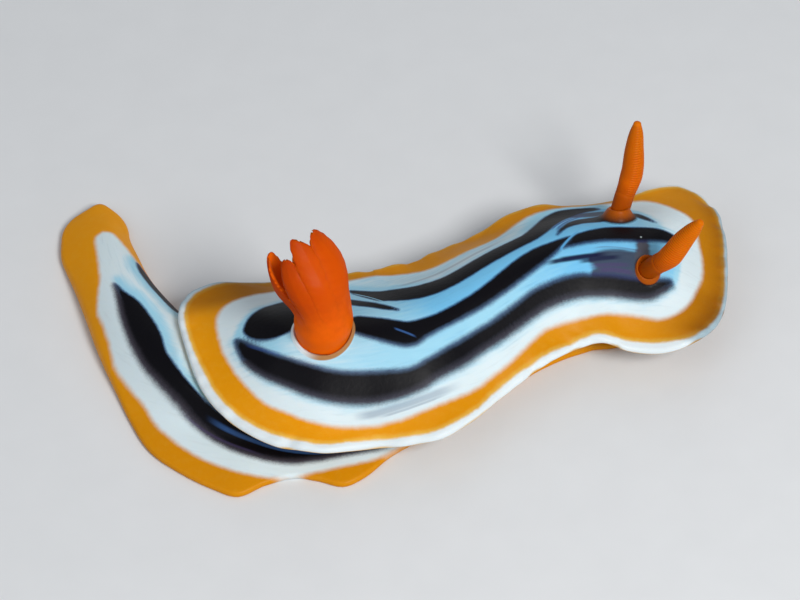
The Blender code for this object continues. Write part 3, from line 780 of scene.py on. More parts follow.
FRONT_STRIPE = [
    (34, -0.4, 0.06), (35, -0.1, 0.4), (36, 0.17, 0.64), (38, 0.36, 0.84), (40, 0.43, 0.88),
    (41.5, 0.6, 0.88), (43, 0.8, 0.72), (44, 0.95, 0.4), (44.5, 1.05, 0.15),
]
SHORT_STRIPE = [(14, 3.9, 0.55), (15, 3.2, 0.5), (16, 2.55, 0.42), (17, 1.75, 0.32), (17.9, 1.1, 0.12)]
FAR_STRIPE = [
    (14.6, 6.4, 0.2), (15.5, 5.5, 0.55), (17, 4.2, 0.95), (18, 3.75, 1.1), (20, 3.1, 1.2), (22, 2.45, 1.12),
    (24, 2.15, 0.98), (28, 2.15, 0.92), (30, 2.25, 0.9), (32, 2.35, 0.85), (33, 2.75, 0.85), (34, 3.6, 0.85),
    (35, 4.7, 0.9), (36, 5.6, 0.85), (37, 6.05, 0.6), (37.9, 6.2, 0.4),
]
FAR_FRONT_STRIPE = [
    (34.2, 1.25, 0.08), (35.2, 2.25, 0.25), (36.6, 3.05, 0.6), (38, 3.2, 0.8), (39.3, 3.5, 0.9),
]
FEELER_DASH = [(40.7, 3.9, 0.4), (41.4, 3.3, 0.32), (42.3, 2.5, 0.08)]
MANTLE_STRIPES = [
    NEAR_STRIPE, REAR_PATCH, MIDDLE_STRIPE, FRONT_STRIPE, SHORT_STRIPE, FAR_STRIPE, FAR_FRONT_STRIPE,
    FEELER_DASH,
]
# The inner edge of the orange band, from the rear round the near side to the front and back.
ORANGE_EDGE = [
    (2.95, 2.0), (3.0, 0.0), (3.6, -2.6), (5, -5.0), (7, -6.1), (10, -6.9), (13, -7.2), (16, -7.4),
    (18, -7.1), (20, -6.7), (22, -6.2), (24, -6.0), (28, -5.4), (30, -5.4), (34, -5.9), (40, -6.1),
    (43, -6.3), (45, -5.0), (46.2, -2), (46.3, 0), (46, 2), (45.5, 4.5), (44, 5.6), (42, 7.0), (40.5, 7.3),
    (38, 7.1), (36, 7.0), (34, 6.7), (33, 6.2), (31, 5.3), (28, 5.4), (26, 5.6), (24, 6.2), (22, 7.3),
    (20, 7.9), (15, 8.2), (11, 7.9), (7.5, 7.1), (4.6, 5.9), (3.3, 4.2),
]
# The width of the white rim outside that band.
NEAR_MARGIN = [
    (0, 0.85), (4, 0.75), (8, 0.6), (26, 0.5), (31, 0.42), (34, 0.5), (38, 0.66), (44, 0.62), (46, 0.4),
    (48.7, 0.25),
]
FAR_MARGIN = [(0, 0.55), (5, 0.35), (10, 0.2), (40, 0.2), (43, 0.3), (46, 0.32), (48.7, 0.3)]
# Zones tinted purple-brown.
PLUM_ZONES = [
    [(36.2, -2.0, 0.1), (37.4, -2.2, 0.55), (38.8, -2.45, 0.85), (40.0, -2.8, 1.1), (41.0, -2.9, 1.1)],
    [(36.2, -3.1, 0.15), (37.2, -3.2, 0.45), (38.2, -3.3, 0.6), (39.6, -3.5, 0.8), (41.0, -3.5, 0.8)],
    [(41.05, -0.2, 0.25), (41.15, -1.2, 0.33), (41.0, -2.2, 0.4)],
    [(36.6, 4.9, 0.3), (38, 4.8, 0.4), (39.4, 4.6, 0.4)],
]
# How blue the pale skin is on each line across the middle stripe: on its near side and on its far side.
BLUE_NEAR = [
    (4, 0.6), (6.5, 0.5), (8.5, 0.32), (12, 0.36), (20, 0.62), (26, 0.6), (31, 0.8), (36, 1.0), (44, 0.8),
]
BLUE_FAR = [(4, 0.6), (7, 0.5), (14, 0.65), (18, 0.7), (21, 0.95), (34, 1.0), (41, 0.75), (44, 0.3)]
MIDDLE_LINE = [
    (4, 1.5), (6, 0.2), (8.5, -0.8), (14, 0.2), (18, -1.6), (24, -1.25), (33, 0.2), (37, 0.3), (44, 1.0),
]
# The blue field lies between the near and the far stripe, and these points close it in front and behind.
FIELD_FRONT = [(43.9, -1.6), (43.6, 0.6), (42.3, 2.2), (41.2, 4.0), (39.4, 5.6)]
FIELD_REAR = [(11, 5.6), (7.5, 4.4), (5.2, 2.6)]


# %% [markdown]
# Two measures read such a map. One says how far a place lies inside a line of changing width, and the
# other how far it lies inside a closed outline. Both work on all the vertices at once, some thousands at
# a time, so that the arrays stay small.

# %% Reading the stripes
PLACES_AT_A_TIME = 8000


def inside_lines(places, lines, steps=10):
    """How many mm each place lies inside the nearest of these lines, and below zero outside them."""
    depth = np.full(len(places), -99.0)
    for line in lines:
        curve = curve_through(line, steps)
        for start in range(0, len(places), PLACES_AT_A_TIME):
            chosen = slice(start, start + PLACES_AT_A_TIME)
            part = places[chosen]
            apart = np.hypot(part[:, :1] - curve[:, 0], part[:, 1:] - curve[:, 1])
            depth[chosen] = np.maximum(depth[chosen], (curve[:, 2] - apart).max(1))
    return depth


def inside_outline(places, outline, steps=8):
    """Distance inwards from a closed smooth outline, in mm, and below zero outside it."""
    closed = curve_through(list(outline) + [outline[0]], steps)
    one, other = closed[:-1], closed[1:]
    run = other - one
    found = []
    for start in range(0, len(places), PLACES_AT_A_TIME):
        part = places[start:start + PLACES_AT_A_TIME, None, :]
        share = ((part - one) * run).sum(-1) / (run**2).sum(-1)
        gap = part - one - np.clip(share, 0, 1)[..., None] * run
        apart = np.sqrt((gap**2).sum(-1)).min(1)
        x, y = part[..., 0], part[..., 1]
        level = run[:, 1] + (run[:, 1] == 0) * 1e-9
        to_the_left = x < one[:, 0] + (y - one[:, 1]) / level * run[:, 0]
        crosses = ((one[:, 1] > y) != (other[:, 1] > y)) & to_the_left
        found.append(np.where(crosses.sum(1) % 2 == 1, apart, -apart))
    return np.concatenate(found)


def zone(places, lines, soft):
    """1 inside soft-edged lines and 0 well outside them."""
    return ease(-soft, soft * 0.3, inside_lines(places, lines))


# %% [markdown]
# The foot and tail have their own map along the sole line. An orange edge runs round the foot and fills
# the tip of the tail, with white inside it, and one broad black stripe runs down the near flank. The far
# flank, which the photograph hides, has the thin stripe that shows beside the ridge of the tail.

# %% Stripes of the foot and tail
FOOT_ORANGE_EDGE = [
    (4.3, 0.5), (5, -0.1), (7.5, -0.3), (10, -0.75), (11.4, -1.4), (13.1, -2.25), (14.5, -2.45),
    (16.4, -3.05), (18.1, -4.05), (19.8, -4.7), (21.4, -5.4), (22.5, -6.3), (24.2, -7.45), (25.6, -8.25),
    (27, -8.85), (28.7, -9.3), (30.9, -9.3), (32.6, -8.85), (34.2, -8.6), (35.9, -8.3), (37.3, -7.85),
    (38.5, -7.2), (42, -5.3), (47, -4.6), (60, -4.7), (63.5, -3.6), (65.0, 0), (63.5, 3.7), (60, 4.9),
    (46, 5.1), (34, 5.9), (26, 5.5), (20, 3.9), (16, 3.4), (11, 3.1), (8.4, 2.8), (6, 2.0), (4.6, 1.3),
]
TAIL_STRIPE = [
    (11.6, 0.0, 0.05), (13.1, 0.0, 0.36), (15, -0.05, 0.9), (17, -0.45, 1.15), (18.7, -1.1, 1.2),
    (20.3, -2.1, 0.98), (22, -3.0, 0.8), (23.7, -4.0, 0.66), (25.3, -5.1, 0.64), (27, -6.0, 0.78),
    (28.7, -6.65, 0.86), (30.9, -6.95, 0.9), (32.6, -6.95, 0.8), (34.2, -6.9, 0.68), (37, -6.6, 0.5),
    (38.6, -6.2, 0.3), (40, -5.8, 0.1),
]
FAR_TAIL_STRIPE = [
    (8.6, 2.9, 0.1), (10, 3.0, 0.35), (12, 3.2, 0.42), (15, 3.6, 0.42), (20, 3.6, 0.42), (22.5, 3.9, 0.3),
    (24.5, 4.2, 0.1),
]
BODY_MAP_START = 100.0  # added to distances along the sole, so that no mantle stroke falls on the body


# %% [markdown]
# Each vertex of the skin now gets its readings, stored as named attributes that the material can look
# up: the distances to the stripes and bands, how blue and how purple its colours are, and how much painted
# shade darkens them. A vertex on the mantle reads the mantle's map, and any other one reads the body's.

# %% Helpers for readings
FAR_OFF = 9.0  # a distance in mm beyond the reach of every band
SEAM_TOLERANCE, RIM_TOLERANCE = 0.08, 0.3  # how far off its computed faces the mantle may lie
TOP_START = 0.4  # height over the mantle's lower face from which a sleeve has colour


def add_reading(obj, name, values):
    made = obj.data.attributes.new(name, "FLOAT", "POINT")
    made.data.foreach_set("value", np.asarray(values, np.float32))


def centres(stripe):
    return [(each[0], each[1]) for each in stripe]

# %% [markdown]
# These are the mantle's readings. The blue is strongest on the front half and fades towards the gills.
# The orange is painted darker at the front and on the far side: painted shade, where less light reaches it.

# %% Readings on the mantle
def read_mantle(x, y, z):
    """All the distances and tints that the mantle's part of the skin needs."""
    u, v = back.read(x, y)
    places = np.stack([u, v], -1)
    edge = from_rim(u, v)
    margin = along(NEAR_MARGIN, u) + (along(FAR_MARGIN, u) - along(NEAR_MARGIN, u)) * ease(-2, 2, v)
    field = centres(NEAR_STRIPE) + FIELD_FRONT + centres(FAR_STRIPE)[::-1] + FIELD_REAR
    in_stripe = inside_lines(places, MANTLE_STRIPES)
    middle = along(MIDDLE_LINE, u)
    blue = along(BLUE_NEAR, u) + (along(BLUE_FAR, u) - along(BLUE_NEAR, u)) * ease(-0.5, 0.5, v - middle)
    outside = 0.34 * ease(-1.3, 0.0, in_stripe) + 0.3 * ease(3.0, 5.0, v) * ease(9, 14, u) * ease(41, 37, u)
    past_near = ease(0.15, -0.25, v - along(centres(NEAR_STRIPE[2:]), u))
    depth = mantle_depth(u, v)
    # painted shade: the front, which curves down away from the light, is painted darker towards the rim
    front = ease(40, 46.5, u) * ease(-9.5, -6.5, v + 0.12 * (u - 45)) * (0.4 + 0.22 * ease(2.4, 0.5, edge))
    below = ease(0.55, 0.2, (z - mantle_level(u, v) + depth) / depth)
    # painted shade on the far side, strongest at the rear, where the gills cast their shadow
    far_side_shade = ease(4.5, 7, v) * ease(43, 40, u) * (0.3 + 0.24 * ease(13, 8, u))
    return {
        "lengthwise": u,
        "crosswise": v,
        "past_margin": edge - margin,
        "past_orange": inside_outline(places, ORANGE_EDGE),
        "in_stripe": in_stripe - 4 * below,
        "blue": np.maximum(blue * ease(-1.0, 0.1, inside_outline(places, field)), outside),
        "plum": np.maximum(past_near, 0.45 * ease(0.3, -0.3, v - middle)),
        "plum_zone": zone(places, PLUM_ZONES, 0.6) - 2 * below,
        "below": below,
        "painted_shade": front * (1 - 0.35 * ease(6.3, 8.5, v)) + far_side_shade + 0.15 * ease(-2, -4, v) * ease(14, 20, u),
    }

# %% [markdown]
# The body has the same readings, so that one material can colour the whole skin. It has no white rim.

# %% Readings on the body
def read_body(x, y, z):
    """The same for the foot, trunk, tail and head."""
    s, v = sole.read(x, y)
    places = np.stack([s, v], -1)
    ridge = ease(3.0, 0.4, np.abs(v - along(RIDGE_OFFSET, s))) * ease(3, 8, s)
    in_stripe = inside_lines(places, [TAIL_STRIPE, FAR_TAIL_STRIPE])
    past_ridge = ease(-1.6, -0.1, in_stripe) * ease(-0.4, 0.4, v - along(centres(TAIL_STRIPE), s))
    on_head = 4 * ease(FOOT_RIM * 3, FOOT_RIM * 4, z) * ease(40, 44, s)
    return {
        "lengthwise": s + BODY_MAP_START,
        "crosswise": v,
        "past_margin": np.full(len(x), FAR_OFF),
        "past_orange": inside_outline(places, FOOT_ORANGE_EDGE) + on_head,
        "in_stripe": in_stripe,
        "blue": 0.1 * ridge + 0.4 * past_ridge + 0.25 * ease(30, 40, s) * ease(1.2, 2.4, z),
        "plum": ease(0.2, -0.3, v - along(centres(TAIL_STRIPE), s)),
        "plum_zone": 0 * x,
        "below": 0 * x,
        # the foot's orange is painted darker from station 16 on
        "painted_shade": 0.2 * ease(16, 24, s),
    }

# %% [markdown]
# A vertex belongs to the mantle when it lies no lower than the mantle's lower face. The sleeves need a
# reading too: the distance from the middle of each feeler and of the gills.

# %% Readings of the whole skin
def read_skin(skin):
    """Gives every vertex of the skin its readings, from the mantle's map or from the body's."""
    x, y, z = points_of(skin).T
    under, edge = mantle_under(x, y)
    on_mantle = (z > under - SEAM_TOLERANCE) & (edge > -RIM_TOLERANCE)
    mantle_part, body_part = read_mantle(x, y, z), read_body(x, y, z)
    for name in mantle_part:
        add_reading(skin, name, np.where(on_mantle, mantle_part[name], body_part[name]))
    for name, (centre, *_) in SLEEVES.items():
        r = np.hypot(x - centre[0], y - centre[1])
        add_reading(skin, f"from_{name}", np.where(on_mantle & (z > under + TOP_START), r, FAR_OFF))
    right_of_gills = x - GILL_CENTRE[0] - 0.6 * (y - GILL_CENTRE[1])
    add_reading(skin, "right_of_gills", right_of_gills / SLEEVES["gills"][1])


read_skin(skin)
print("readings:", [each.name for each in skin.data.attributes if each.data_type == "FLOAT"])

# %% [markdown]
# Lines thinner than the skin's mesh can't be read off its vertices without breaking up. So the finish
# draws them itself, as strokes over the same flat map. Each has a start and an end as (along, across),
# a bow to one side, a half width, a tint and a strength. Some lie under the black and some over it.

# %% Fine strokes
def paint(red, green, blue):
    """A colour as it looks on a screen, from 0 to 255, as the numbers that a shader mixes."""
    linear = [((c / 255 + 0.055) / 1.055) ** 2.4 if c > 10 else c / 255 / 12.92 for c in (red, green, blue)]
    return (*linear, 1.0)


INDIGO, VIOLET, DULL_GREY = paint(22, 26, 62), paint(78, 66, 110), paint(140, 158, 176)
LIGHT_LINE, SHEEN, DEEP_BLUE = paint(150, 208, 236), paint(60, 100, 160), paint(50, 84, 160)
SKY_LINE, GLINT = paint(98, 176, 228), paint(190, 205, 205)
FINE_STROKES = [
    ((31.4, -1.25), (38.4, -1.75), -0.12, 0.18, INDIGO, 0.95),
    ((33.0, -1.35), (36.6, -1.7), -0.1, 0.2, INDIGO, 0.75),
    ((34.6, -1.95), (39.5, -1.95), -0.1, 0.16, INDIGO, 0.8),
    ((35.6, -2.5), (40.4, -2.6), -0.05, 0.14, VIOLET, 0.6),
    ((36.4, -2.95), (40.8, -3.3), 0.1, 0.16, VIOLET, 0.7),
    ((36.5, -1.05), (41.5, -1.45), 0.1, 0.06, VIOLET, 0.35),
    ((12.5, -6.5), (20.5, -5.9), -0.3, 0.24, DULL_GREY, 0.6),
    ((14.5, -6.9), (19.5, -6.4), -0.15, 0.07, DULL_GREY, 0.5),
    ((19, 5.2), (32, 4.3), -0.5, 0.2, DULL_GREY, 0.5),
    ((34.2, 1.8), (37.4, 4.9), 0.2, 0.16, DEEP_BLUE, 0.75),
    ((112, 0.6), (121, -1.2), 0.55, 0.3, LIGHT_LINE, 0.5),
]
STRIPE_STROKES = [
    ((14.6, 5.9), (17.7, 1.7), 0.35, 0.09, LIGHT_LINE, 0.9),
    ((16.9, -0.8), (18.5, -2.1), 0.05, 0.1, SHEEN, 0.8),
    ((33.4, -0.75), (36.2, 1.35), 0.0, 0.12, SKY_LINE, 0.9),
    ((34.0, 2.2), (36.7, 4.7), 0.1, 0.11, DEEP_BLUE, 0.8),
    ((4.6, 0.4), (7.6, -2.0), -0.25, 0.18, DEEP_BLUE, 0.35),
    ((125.4, -5.15), (134.5, -7.25), -0.35, 0.13, SHEEN, 0.85),
    ((123.5, -4.9), (130.0, -7.5), -0.3, 0.1, VIOLET, 0.35),
    ((40.9, 0.1), (41.1, 0.1), 0.0, 0.08, GLINT, 0.8),
]

# %% [markdown]
# The skin's finish. On the living animal the colours lie in a clear, wet, soft skin, so the light goes
# a little way in: the shader gets a small subsurface share, whose depth is a fraction of a millimetre.
# Each band is a soft step on a distance. The steps are roughened with fine noise, because on the photo
# the black breaks up into specks at its edge, purple-brown on its outer side and blue on its inner one.


# %% Arithmetic on readings
NOISE_DETAIL = 2.0


class Reading:
    """A number that changes over the surface, with the arithmetic that the finishes use."""

    def __init__(self, finish, socket):
        self.finish, self.socket = finish, socket

    def maths(self, operation, one, other):
        return self.finish.node("ShaderNodeMath", {"operation": operation}, {0: one, 1: other})

    def __add__(self, other):
        return self.maths("ADD", self, other)

    def __sub__(self, other):
        return self.maths("SUBTRACT", self, other)

    def __rsub__(self, other):
        return self.maths("SUBTRACT", other, self)

    def __mul__(self, other):
        return self.maths("MULTIPLY", self, other)

    def size(self):
        return self.maths("ABSOLUTE", self, 0.0)

    __radd__, __rmul__ = __add__, __mul__

# %% [markdown]
# A finish is one material round one Principled shader. Every other node comes from the same method,
# and the few patterns that the slug needs, such as grain, streaks and strokes, are built on it.

# %% A finish, built node by node
class Finish:
    """One material, built node by node round its Principled shader."""

    def __init__(self, name, constants):
        self.material = bpy.data.materials.new(name)
        self.material.use_nodes = True
        self.tree = self.material.node_tree
        self.shader = self.tree.nodes["Principled BSDF"]
        for socket, value in constants.items():
            self.shader.inputs[socket].default_value = value

    def node(self, kind, settings, sockets, output=0):
        made = self.tree.nodes.new(kind)
        for name, value in settings.items():
            setattr(made, name, value)
        for socket, value in sockets.items():
            self.feed(made.inputs[socket], value)
        return Reading(self, made.outputs[output])

    def feed(self, socket, value):
        if isinstance(value, Reading):
            self.tree.links.new(value.socket, socket)
        else:
            socket.default_value = value

    def reading(self, name):
        return self.node("ShaderNodeAttribute", {"attribute_name": name}, {}, 2)

    def step(self, value, low, high):
        """0 below low, 1 above high, and smooth between them."""
        ends = {0: value, 1: low, 2: high, 3: 0.0, 4: 1.0}
        return self.node("ShaderNodeMapRange", {"interpolation_type": "SMOOTHSTEP"}, ends)

    def blend(self, share, one, other):
        """A colour that goes from one to the other."""
        return self.node("ShaderNodeMix", {"data_type": "RGBA"}, {0: share, 6: one, 7: other}, 2)

    def grain(self, size):
        """Fine noise from -0.5 to 0.5, with grains of about this many mm."""
        place = self.node("ShaderNodeTexCoord", {}, {}, 3)
        sockets = {"Vector": place, "Scale": 1 / (size * MM), "Detail": NOISE_DETAIL}
        return self.node("ShaderNodeTexNoise", {}, sockets) - 0.5

    def streaks(self, length, width):
        """Noise from -0.5 to 0.5 drawn out along the body, with streaks of about this many mm."""
        sockets = {0: self.reading("lengthwise") * (1 / length), 1: self.reading("crosswise") * (1 / width)}
        place = self.node("ShaderNodeCombineXYZ", {}, sockets)
        sockets = {"Vector": place, "Scale": 1.0, "Detail": NOISE_DETAIL}
        return self.node("ShaderNodeTexNoise", {}, sockets) - 0.5

    def stroke(self, length, across, start, end, bend, half_width):
        """1 on a thin line from start to end that bows sideways by bend, all in mm, and 0 off it."""
        share = (length - start[0]) * (1 / (end[0] - start[0]))
        centre = share * (end[1] - start[1]) + start[1] + share * (1 - share) * (4 * bend)
        off = (across - centre).size()
        ends = self.step(share, 0.0, 0.2) * self.step(share, 1.0, 0.75)
        return self.step(off, half_width * 1.7, half_width * 0.4) * ends

    def relief(self, height, depth):
        """Sets the bump from a height of about -0.5 to 0.5 and its depth in mm."""
        bump = self.node("ShaderNodeBump", {}, {"Height": height, "Distance": depth * MM, "Strength": 1.0})
        self.feed(self.shader.inputs["Normal"], bump)

    def colour(self, value):
        self.feed(self.shader.inputs["Base Color"], value)

# %% [markdown]
# The skin, the feelers and the gills are the same kind of flesh. They differ in how far the light goes
# in and how red it comes out again, and all are wet with only a little shine, as under water.

# %% Soft flesh
def soft_flesh(name, depth, weight, colour_reach, roughness, wetness, shine):
    """A wet soft finish: light goes in by depth, in mm, and red light the furthest."""
    return Finish(name, {
        "Roughness": roughness,
        "Subsurface Weight": weight,
        "Subsurface Radius": colour_reach,
        "Subsurface Scale": depth * MM,
        "Coat Weight": wetness,
        "Coat Roughness": 0.2,
        "Specular IOR Level": shine,
    })


# %% [markdown]
# The colours of the skin are laid from the ground up, as a painter would: white and blue, the orange
# band, the pale rim, the fine lines, then the black stripes and the colour of the sleeves. Last comes the
# underside, which is pale all over, and a very fine relief, so that the wet skin glistens unevenly.

# %% Colours of the skin
# The slate rim and the dark orange are the white rim and the orange in painted shade.
MARGIN_WHITE, SHADED_MARGIN = paint(228, 238, 242), paint(164, 186, 196)
ORANGE, SHADED_ORANGE, EDGE_YELLOW = paint(234, 153, 1), paint(104, 50, 4), paint(238, 186, 74)
FIELD_WHITE, PALE_BLUE, SKY_BLUE = paint(222, 237, 242), paint(164, 218, 240), paint(120, 198, 240)
HALO_BLUE, PLUM, STRIPE_BLACK = paint(36, 62, 124), paint(54, 42, 58), paint(8, 7, 13)
UNDERSIDE, SLEEVE_ORANGE, SLEEVE_BLACK = paint(206, 222, 234), paint(172, 82, 4), paint(40, 24, 18)
POCKET_BROWN, COLUMN_BROWN = paint(176, 126, 78), paint(84, 62, 58)

# %% [markdown]
# Every soft edge in the next cell is one step on one reading. Noise is added to the reading first, so
# that the edge wanders a little, as pigment does.

# %% Layers of the skin's finish
def finish_skin():
    f = soft_flesh("wet_skin", 0.3, 0.15, (1.0, 0.75, 0.6), 0.45, 0.03, 0.11)
    speck, mottle, cloud = f.grain(0.1), f.grain(0.6), f.grain(2.4)
    streak = f.streaks(2.6, 0.3)
    length, across = f.reading("lengthwise"), f.reading("crosswise")
    plum, stripe = f.reading("plum"), f.reading("in_stripe")
    field = f.step(f.reading("past_orange") + mottle * 0.16 + speck * 0.06, -0.36, 0.22)
    rim = f.step(f.reading("past_margin") + mottle * 0.16 + speck * 0.05, -0.16, 0.14)
    yellow = f.step(f.reading("past_margin") + mottle * 0.3, 0.05, 0.5)

    blue = f.reading("blue") + streak * 0.28 + cloud * 0.12
    white = f.blend(f.step(blue, 0.08, 0.5), FIELD_WHITE, PALE_BLUE)
    white = f.blend(f.step(blue, 0.55, 1.0), white, SKY_BLUE)
    zone_edge = f.step(f.reading("plum_zone") + streak * 0.6, 0.0, 0.8)
    white = f.blend(zone_edge * 0.9, white, f.blend(f.step(length, 40.2, 40.9), PLUM, COLUMN_BROWN))
    orange = f.blend(yellow, EDGE_YELLOW, ORANGE)
    orange = f.blend(f.step(mottle + speck * 0.4, -0.1, 0.45) * 0.14, orange, EDGE_YELLOW)
    # painted shade: darker orange at the front and on the far side
    orange = f.blend(f.reading("painted_shade"), orange, SHADED_ORANGE)
    ground = f.blend(field, orange, white)
    # painted shade: the white rim turns slate grey where the orange is painted darkest, at the front
    margin = f.blend(f.step(f.reading("painted_shade"), 0.3, 0.6), MARGIN_WHITE, SHADED_MARGIN)
    ground = f.blend(rim, margin, ground)
    for start, end, bend, half, tint, strength in FINE_STROKES:
        ground = f.blend(f.stroke(length, across, start, end, bend, half) * strength, ground, tint)

    ragged = stripe + speck * (0.1 + plum * 0.16) + mottle * 0.1
    soft = 0.17 + plum * 0.26
    halo = f.step(ragged, -1.25 * soft, 0.2 * soft)
    core = f.step(ragged, -0.5 * soft, 0.85 * soft + plum * 0.2)
    striped = f.blend(halo * (plum * 0.2 + 0.75), ground, f.blend(plum, HALO_BLUE, PLUM))
    striped = f.blend(core, striped, STRIPE_BLACK)
    for start, end, bend, half, tint, strength in STRIPE_STROKES:
        striped = f.blend(f.stroke(length, across, start, end, bend, half) * strength, striped, tint)

    left = f.reading("from_left") + speck * 0.2
    striped = f.blend(f.step(left, 1.85, 1.5), striped, SLEEVE_BLACK)
    striped = f.blend(f.step(left, 1.6, 1.0), striped, SLEEVE_ORANGE)
    striped = f.blend(f.step(f.reading("from_right") + speck * 0.06, 1.15, 1.07), striped, SLEEVE_ORANGE)
    lip_tint = f.blend(f.step(f.reading("right_of_gills"), -0.3, 0.6), MARGIN_WHITE, POCKET_BROWN)
    striped = f.blend(f.step(f.reading("from_gills"), 2.72, 2.64), striped, lip_tint)
    f.colour(f.blend(f.reading("below") * 0.97, striped, f.blend(field, orange, UNDERSIDE)))
    f.relief(speck * 0.3 + f.grain(0.3) * 0.5 + mottle * 0.6, 0.02)
    return f.material


skin.data.materials.clear()
skin.data.materials.append(finish_skin())
for face in skin.data.polygons:
    face.material_index = 0
SKIN_NODES = [
    "mantle_front", "mantle_middle", "mantle_rear", "head", "oral_tentacle_left", "oral_tentacle_right",
    "trunk_front", "trunk_rear", "foot_front", "foot_middle", "foot_rear", "tail", "tail_tip",
    "rhinophore_sheath_left", "rhinophore_sheath_right", "gill_pocket", "vent",
]
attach(skin, "root")
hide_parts(*SKIN_NODES)
print("skin finished")

# %% [markdown]
# The two feelers, or rhinophores, smell the water. Each is a smooth stalk with a club of thin stacked
# leaves, the lamellae, and a plain strip down one side where the leaves meet. The leaves are real
# geometry, because they show on the outline: the stem is pulled up with a few rings for each leaf.
# One straight feeler is made and copied, and each copy is bent along its own line.

# %% The feelers
FEELER_LINES = {
    "left": [(0, 0, 0), (0.5, 0.9, 1.6), (1.15, 2.0, 3.5), (1.3, 3.0, 5.6), (1.5, 3.9, 7.8)],
    "right": [(0, 0, 0), (0.7, -0.5, 1.3), (1.65, -1.05, 2.85), (2.75, -0.95, 4.95), (4.05, -1.05, 7.2)],
}
FEELER_LENGTH, FEELER_SIDES = 8.8, 48
FEELER_SHAPE = [
    (0, 0.84), (0.12, 0.86), (0.25, 0.88), (0.34, 0.93), (0.42, 1.0), (0.5, 0.98), (0.6, 0.94), (0.68, 0.88),
    (0.75, 0.8), (0.82, 0.72), (0.88, 0.62), (0.93, 0.49), (0.97, 0.34), (1, 0.14),
]
LEAF_COUNT, LEAF_START, LEAF_STOP, LEAF_DEPTH = 29, 0.26, 0.965, 0.08
LEAF_SECTION = [(0.0, 0.0), (0.2, 0.75), (0.5, 1.0), (0.8, 0.7)]  # share of the pitch, and of the depth
FEELER_TILT, STRIP_HALF_ANGLE = 0.16, 0.85
STRIP_TURN = {"left": 0.9, "right": -1.3}  # how far each feeler is spun about itself, in radians

# %% [markdown]
# The club is widest a little above the stalk and narrows to a blunt tip. Four rings make one leaf, as a
# low round bulge. At the plain strip the leaves are smoothed away again.

# %% A straight feeler
def feeler_radius(share):
    return along(FEELER_SHAPE, share)


def feeler_rings():
    rings = [(share, feeler_radius(share)) for share in np.linspace(-0.08, LEAF_START - 0.01, 12)]
    pitch = (LEAF_STOP - LEAF_START) / LEAF_COUNT
    for leaf in range(LEAF_COUNT):
        for part, out in LEAF_SECTION:
            share = LEAF_START + (leaf + part) * pitch
            rings.append((share, feeler_radius(share) * (1 - LEAF_DEPTH * (1 - out))))
    for turn in np.linspace(0.0, math.pi / 2 * 0.97, 8):
        share = LEAF_STOP + (1 - LEAF_STOP) * math.sin(turn)
        rings.append((share, feeler_radius(LEAF_STOP) * math.cos(turn) ** 0.7))
    return [(share * FEELER_LENGTH, float(radius)) for share, radius in rings]


def make_feeler():
    """One straight feeler, with its leaves fading out at the plain strip."""
    stem = pull_stem("feeler", feeler_rings(), FEELER_SIDES)
    x, y, z = points_of(stem).T
    r, angle = np.hypot(x, y), np.arctan2(y, x)
    share = z / FEELER_LENGTH
    leafy = (share > LEAF_START) & (share < LEAF_STOP)
    strip = ease(STRIP_HALF_ANGLE, STRIP_HALF_ANGLE * 0.3, np.abs(angle)) * leafy
    smooth_r = feeler_radius(share) * (1 - 0.4 * LEAF_DEPTH)
    size = np.where(r > 1e-4, (r + (smooth_r - r) * strip) / np.maximum(r, 1e-4), 1)
    tilt = FEELER_TILT * x * ease(LEAF_START - 0.05, LEAF_START + 0.1, share) * ease(1.0, 0.85, share)
    move_points(stem, np.stack([x * size, y * size * 0.96, z - tilt], -1))
    close_and_face_out(stem)
    return stem

# %% [markdown]
# The feelers are orange and a little browner at the foot. The grooves between the leaves are painted darker,
# as painted shade.

# %% Finish of the feelers
def finish_feeler():
    f = soft_flesh("feeler_flesh", 0.4, 0.2, (1.0, 0.4, 0.1), 0.5, 0.02, 0.06)
    grain, mottle = f.grain(0.12), f.grain(0.9)
    share = f.reading("up_feeler")
    body = f.blend(f.step(share + mottle * 0.3, 0.2, 1.0), paint(219, 99, 0), paint(217, 112, 0))
    body = f.blend(f.step(share + mottle * 0.1, 0.4, 0.16), body, paint(168, 74, 0))
    # painted shade: the grooves between the leaves are painted darker
    f.colour(f.blend(f.reading("in_groove") * 0.32, body, paint(150, 56, 0)))
    f.relief(grain * 0.6 + mottle * 0.5, 0.02)
    return f.material

# %% [markdown]
# Each copy gets its readings while it is still straight. It is then spun about itself, so that its
# plain strip faces the right way, and bent along its own line out of its sleeve.

# %% Planting the feelers
def plant_feeler(side, straight, finish):
    feeler = straight.copy()
    feeler.data = straight.data.copy()
    bpy.context.collection.objects.link(feeler)
    feeler.name = feeler.data.name = f"feeler_{side}"
    x, y, z = points_of(feeler).T
    share = z / FEELER_LENGTH
    groove = ease(0.02, 0.6, (1 - np.hypot(x, y / 0.96) / feeler_radius(share)) / LEAF_DEPTH)
    add_reading(feeler, "up_feeler", share)
    add_reading(feeler, "in_groove", groove * (share > LEAF_START) * (share < LEAF_STOP))
    spin = STRIP_TURN[side]
    turned = x * math.cos(spin) - y * math.sin(spin), x * math.sin(spin) + y * math.cos(spin)
    move_points(feeler, np.stack([*turned, z], -1))
    foot = np.array(FEELER_FEET[side])
    u, v = back.read(foot[:1], foot[1:])
    seat = np.array([*foot, mantle_level(u, v)[0]])
    bend_along(feeler, [seat + np.array(offset) for offset in FEELER_LINES[side]], FEELER_LENGTH)
    feeler.data.materials.append(finish)
    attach(feeler, "root")
    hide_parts(f"rhinophore_stalk_{side}", f"rhinophore_club_{side}")
    print(feeler.name, "tip at", points_of(feeler)[np.argmax(share)].round(1))


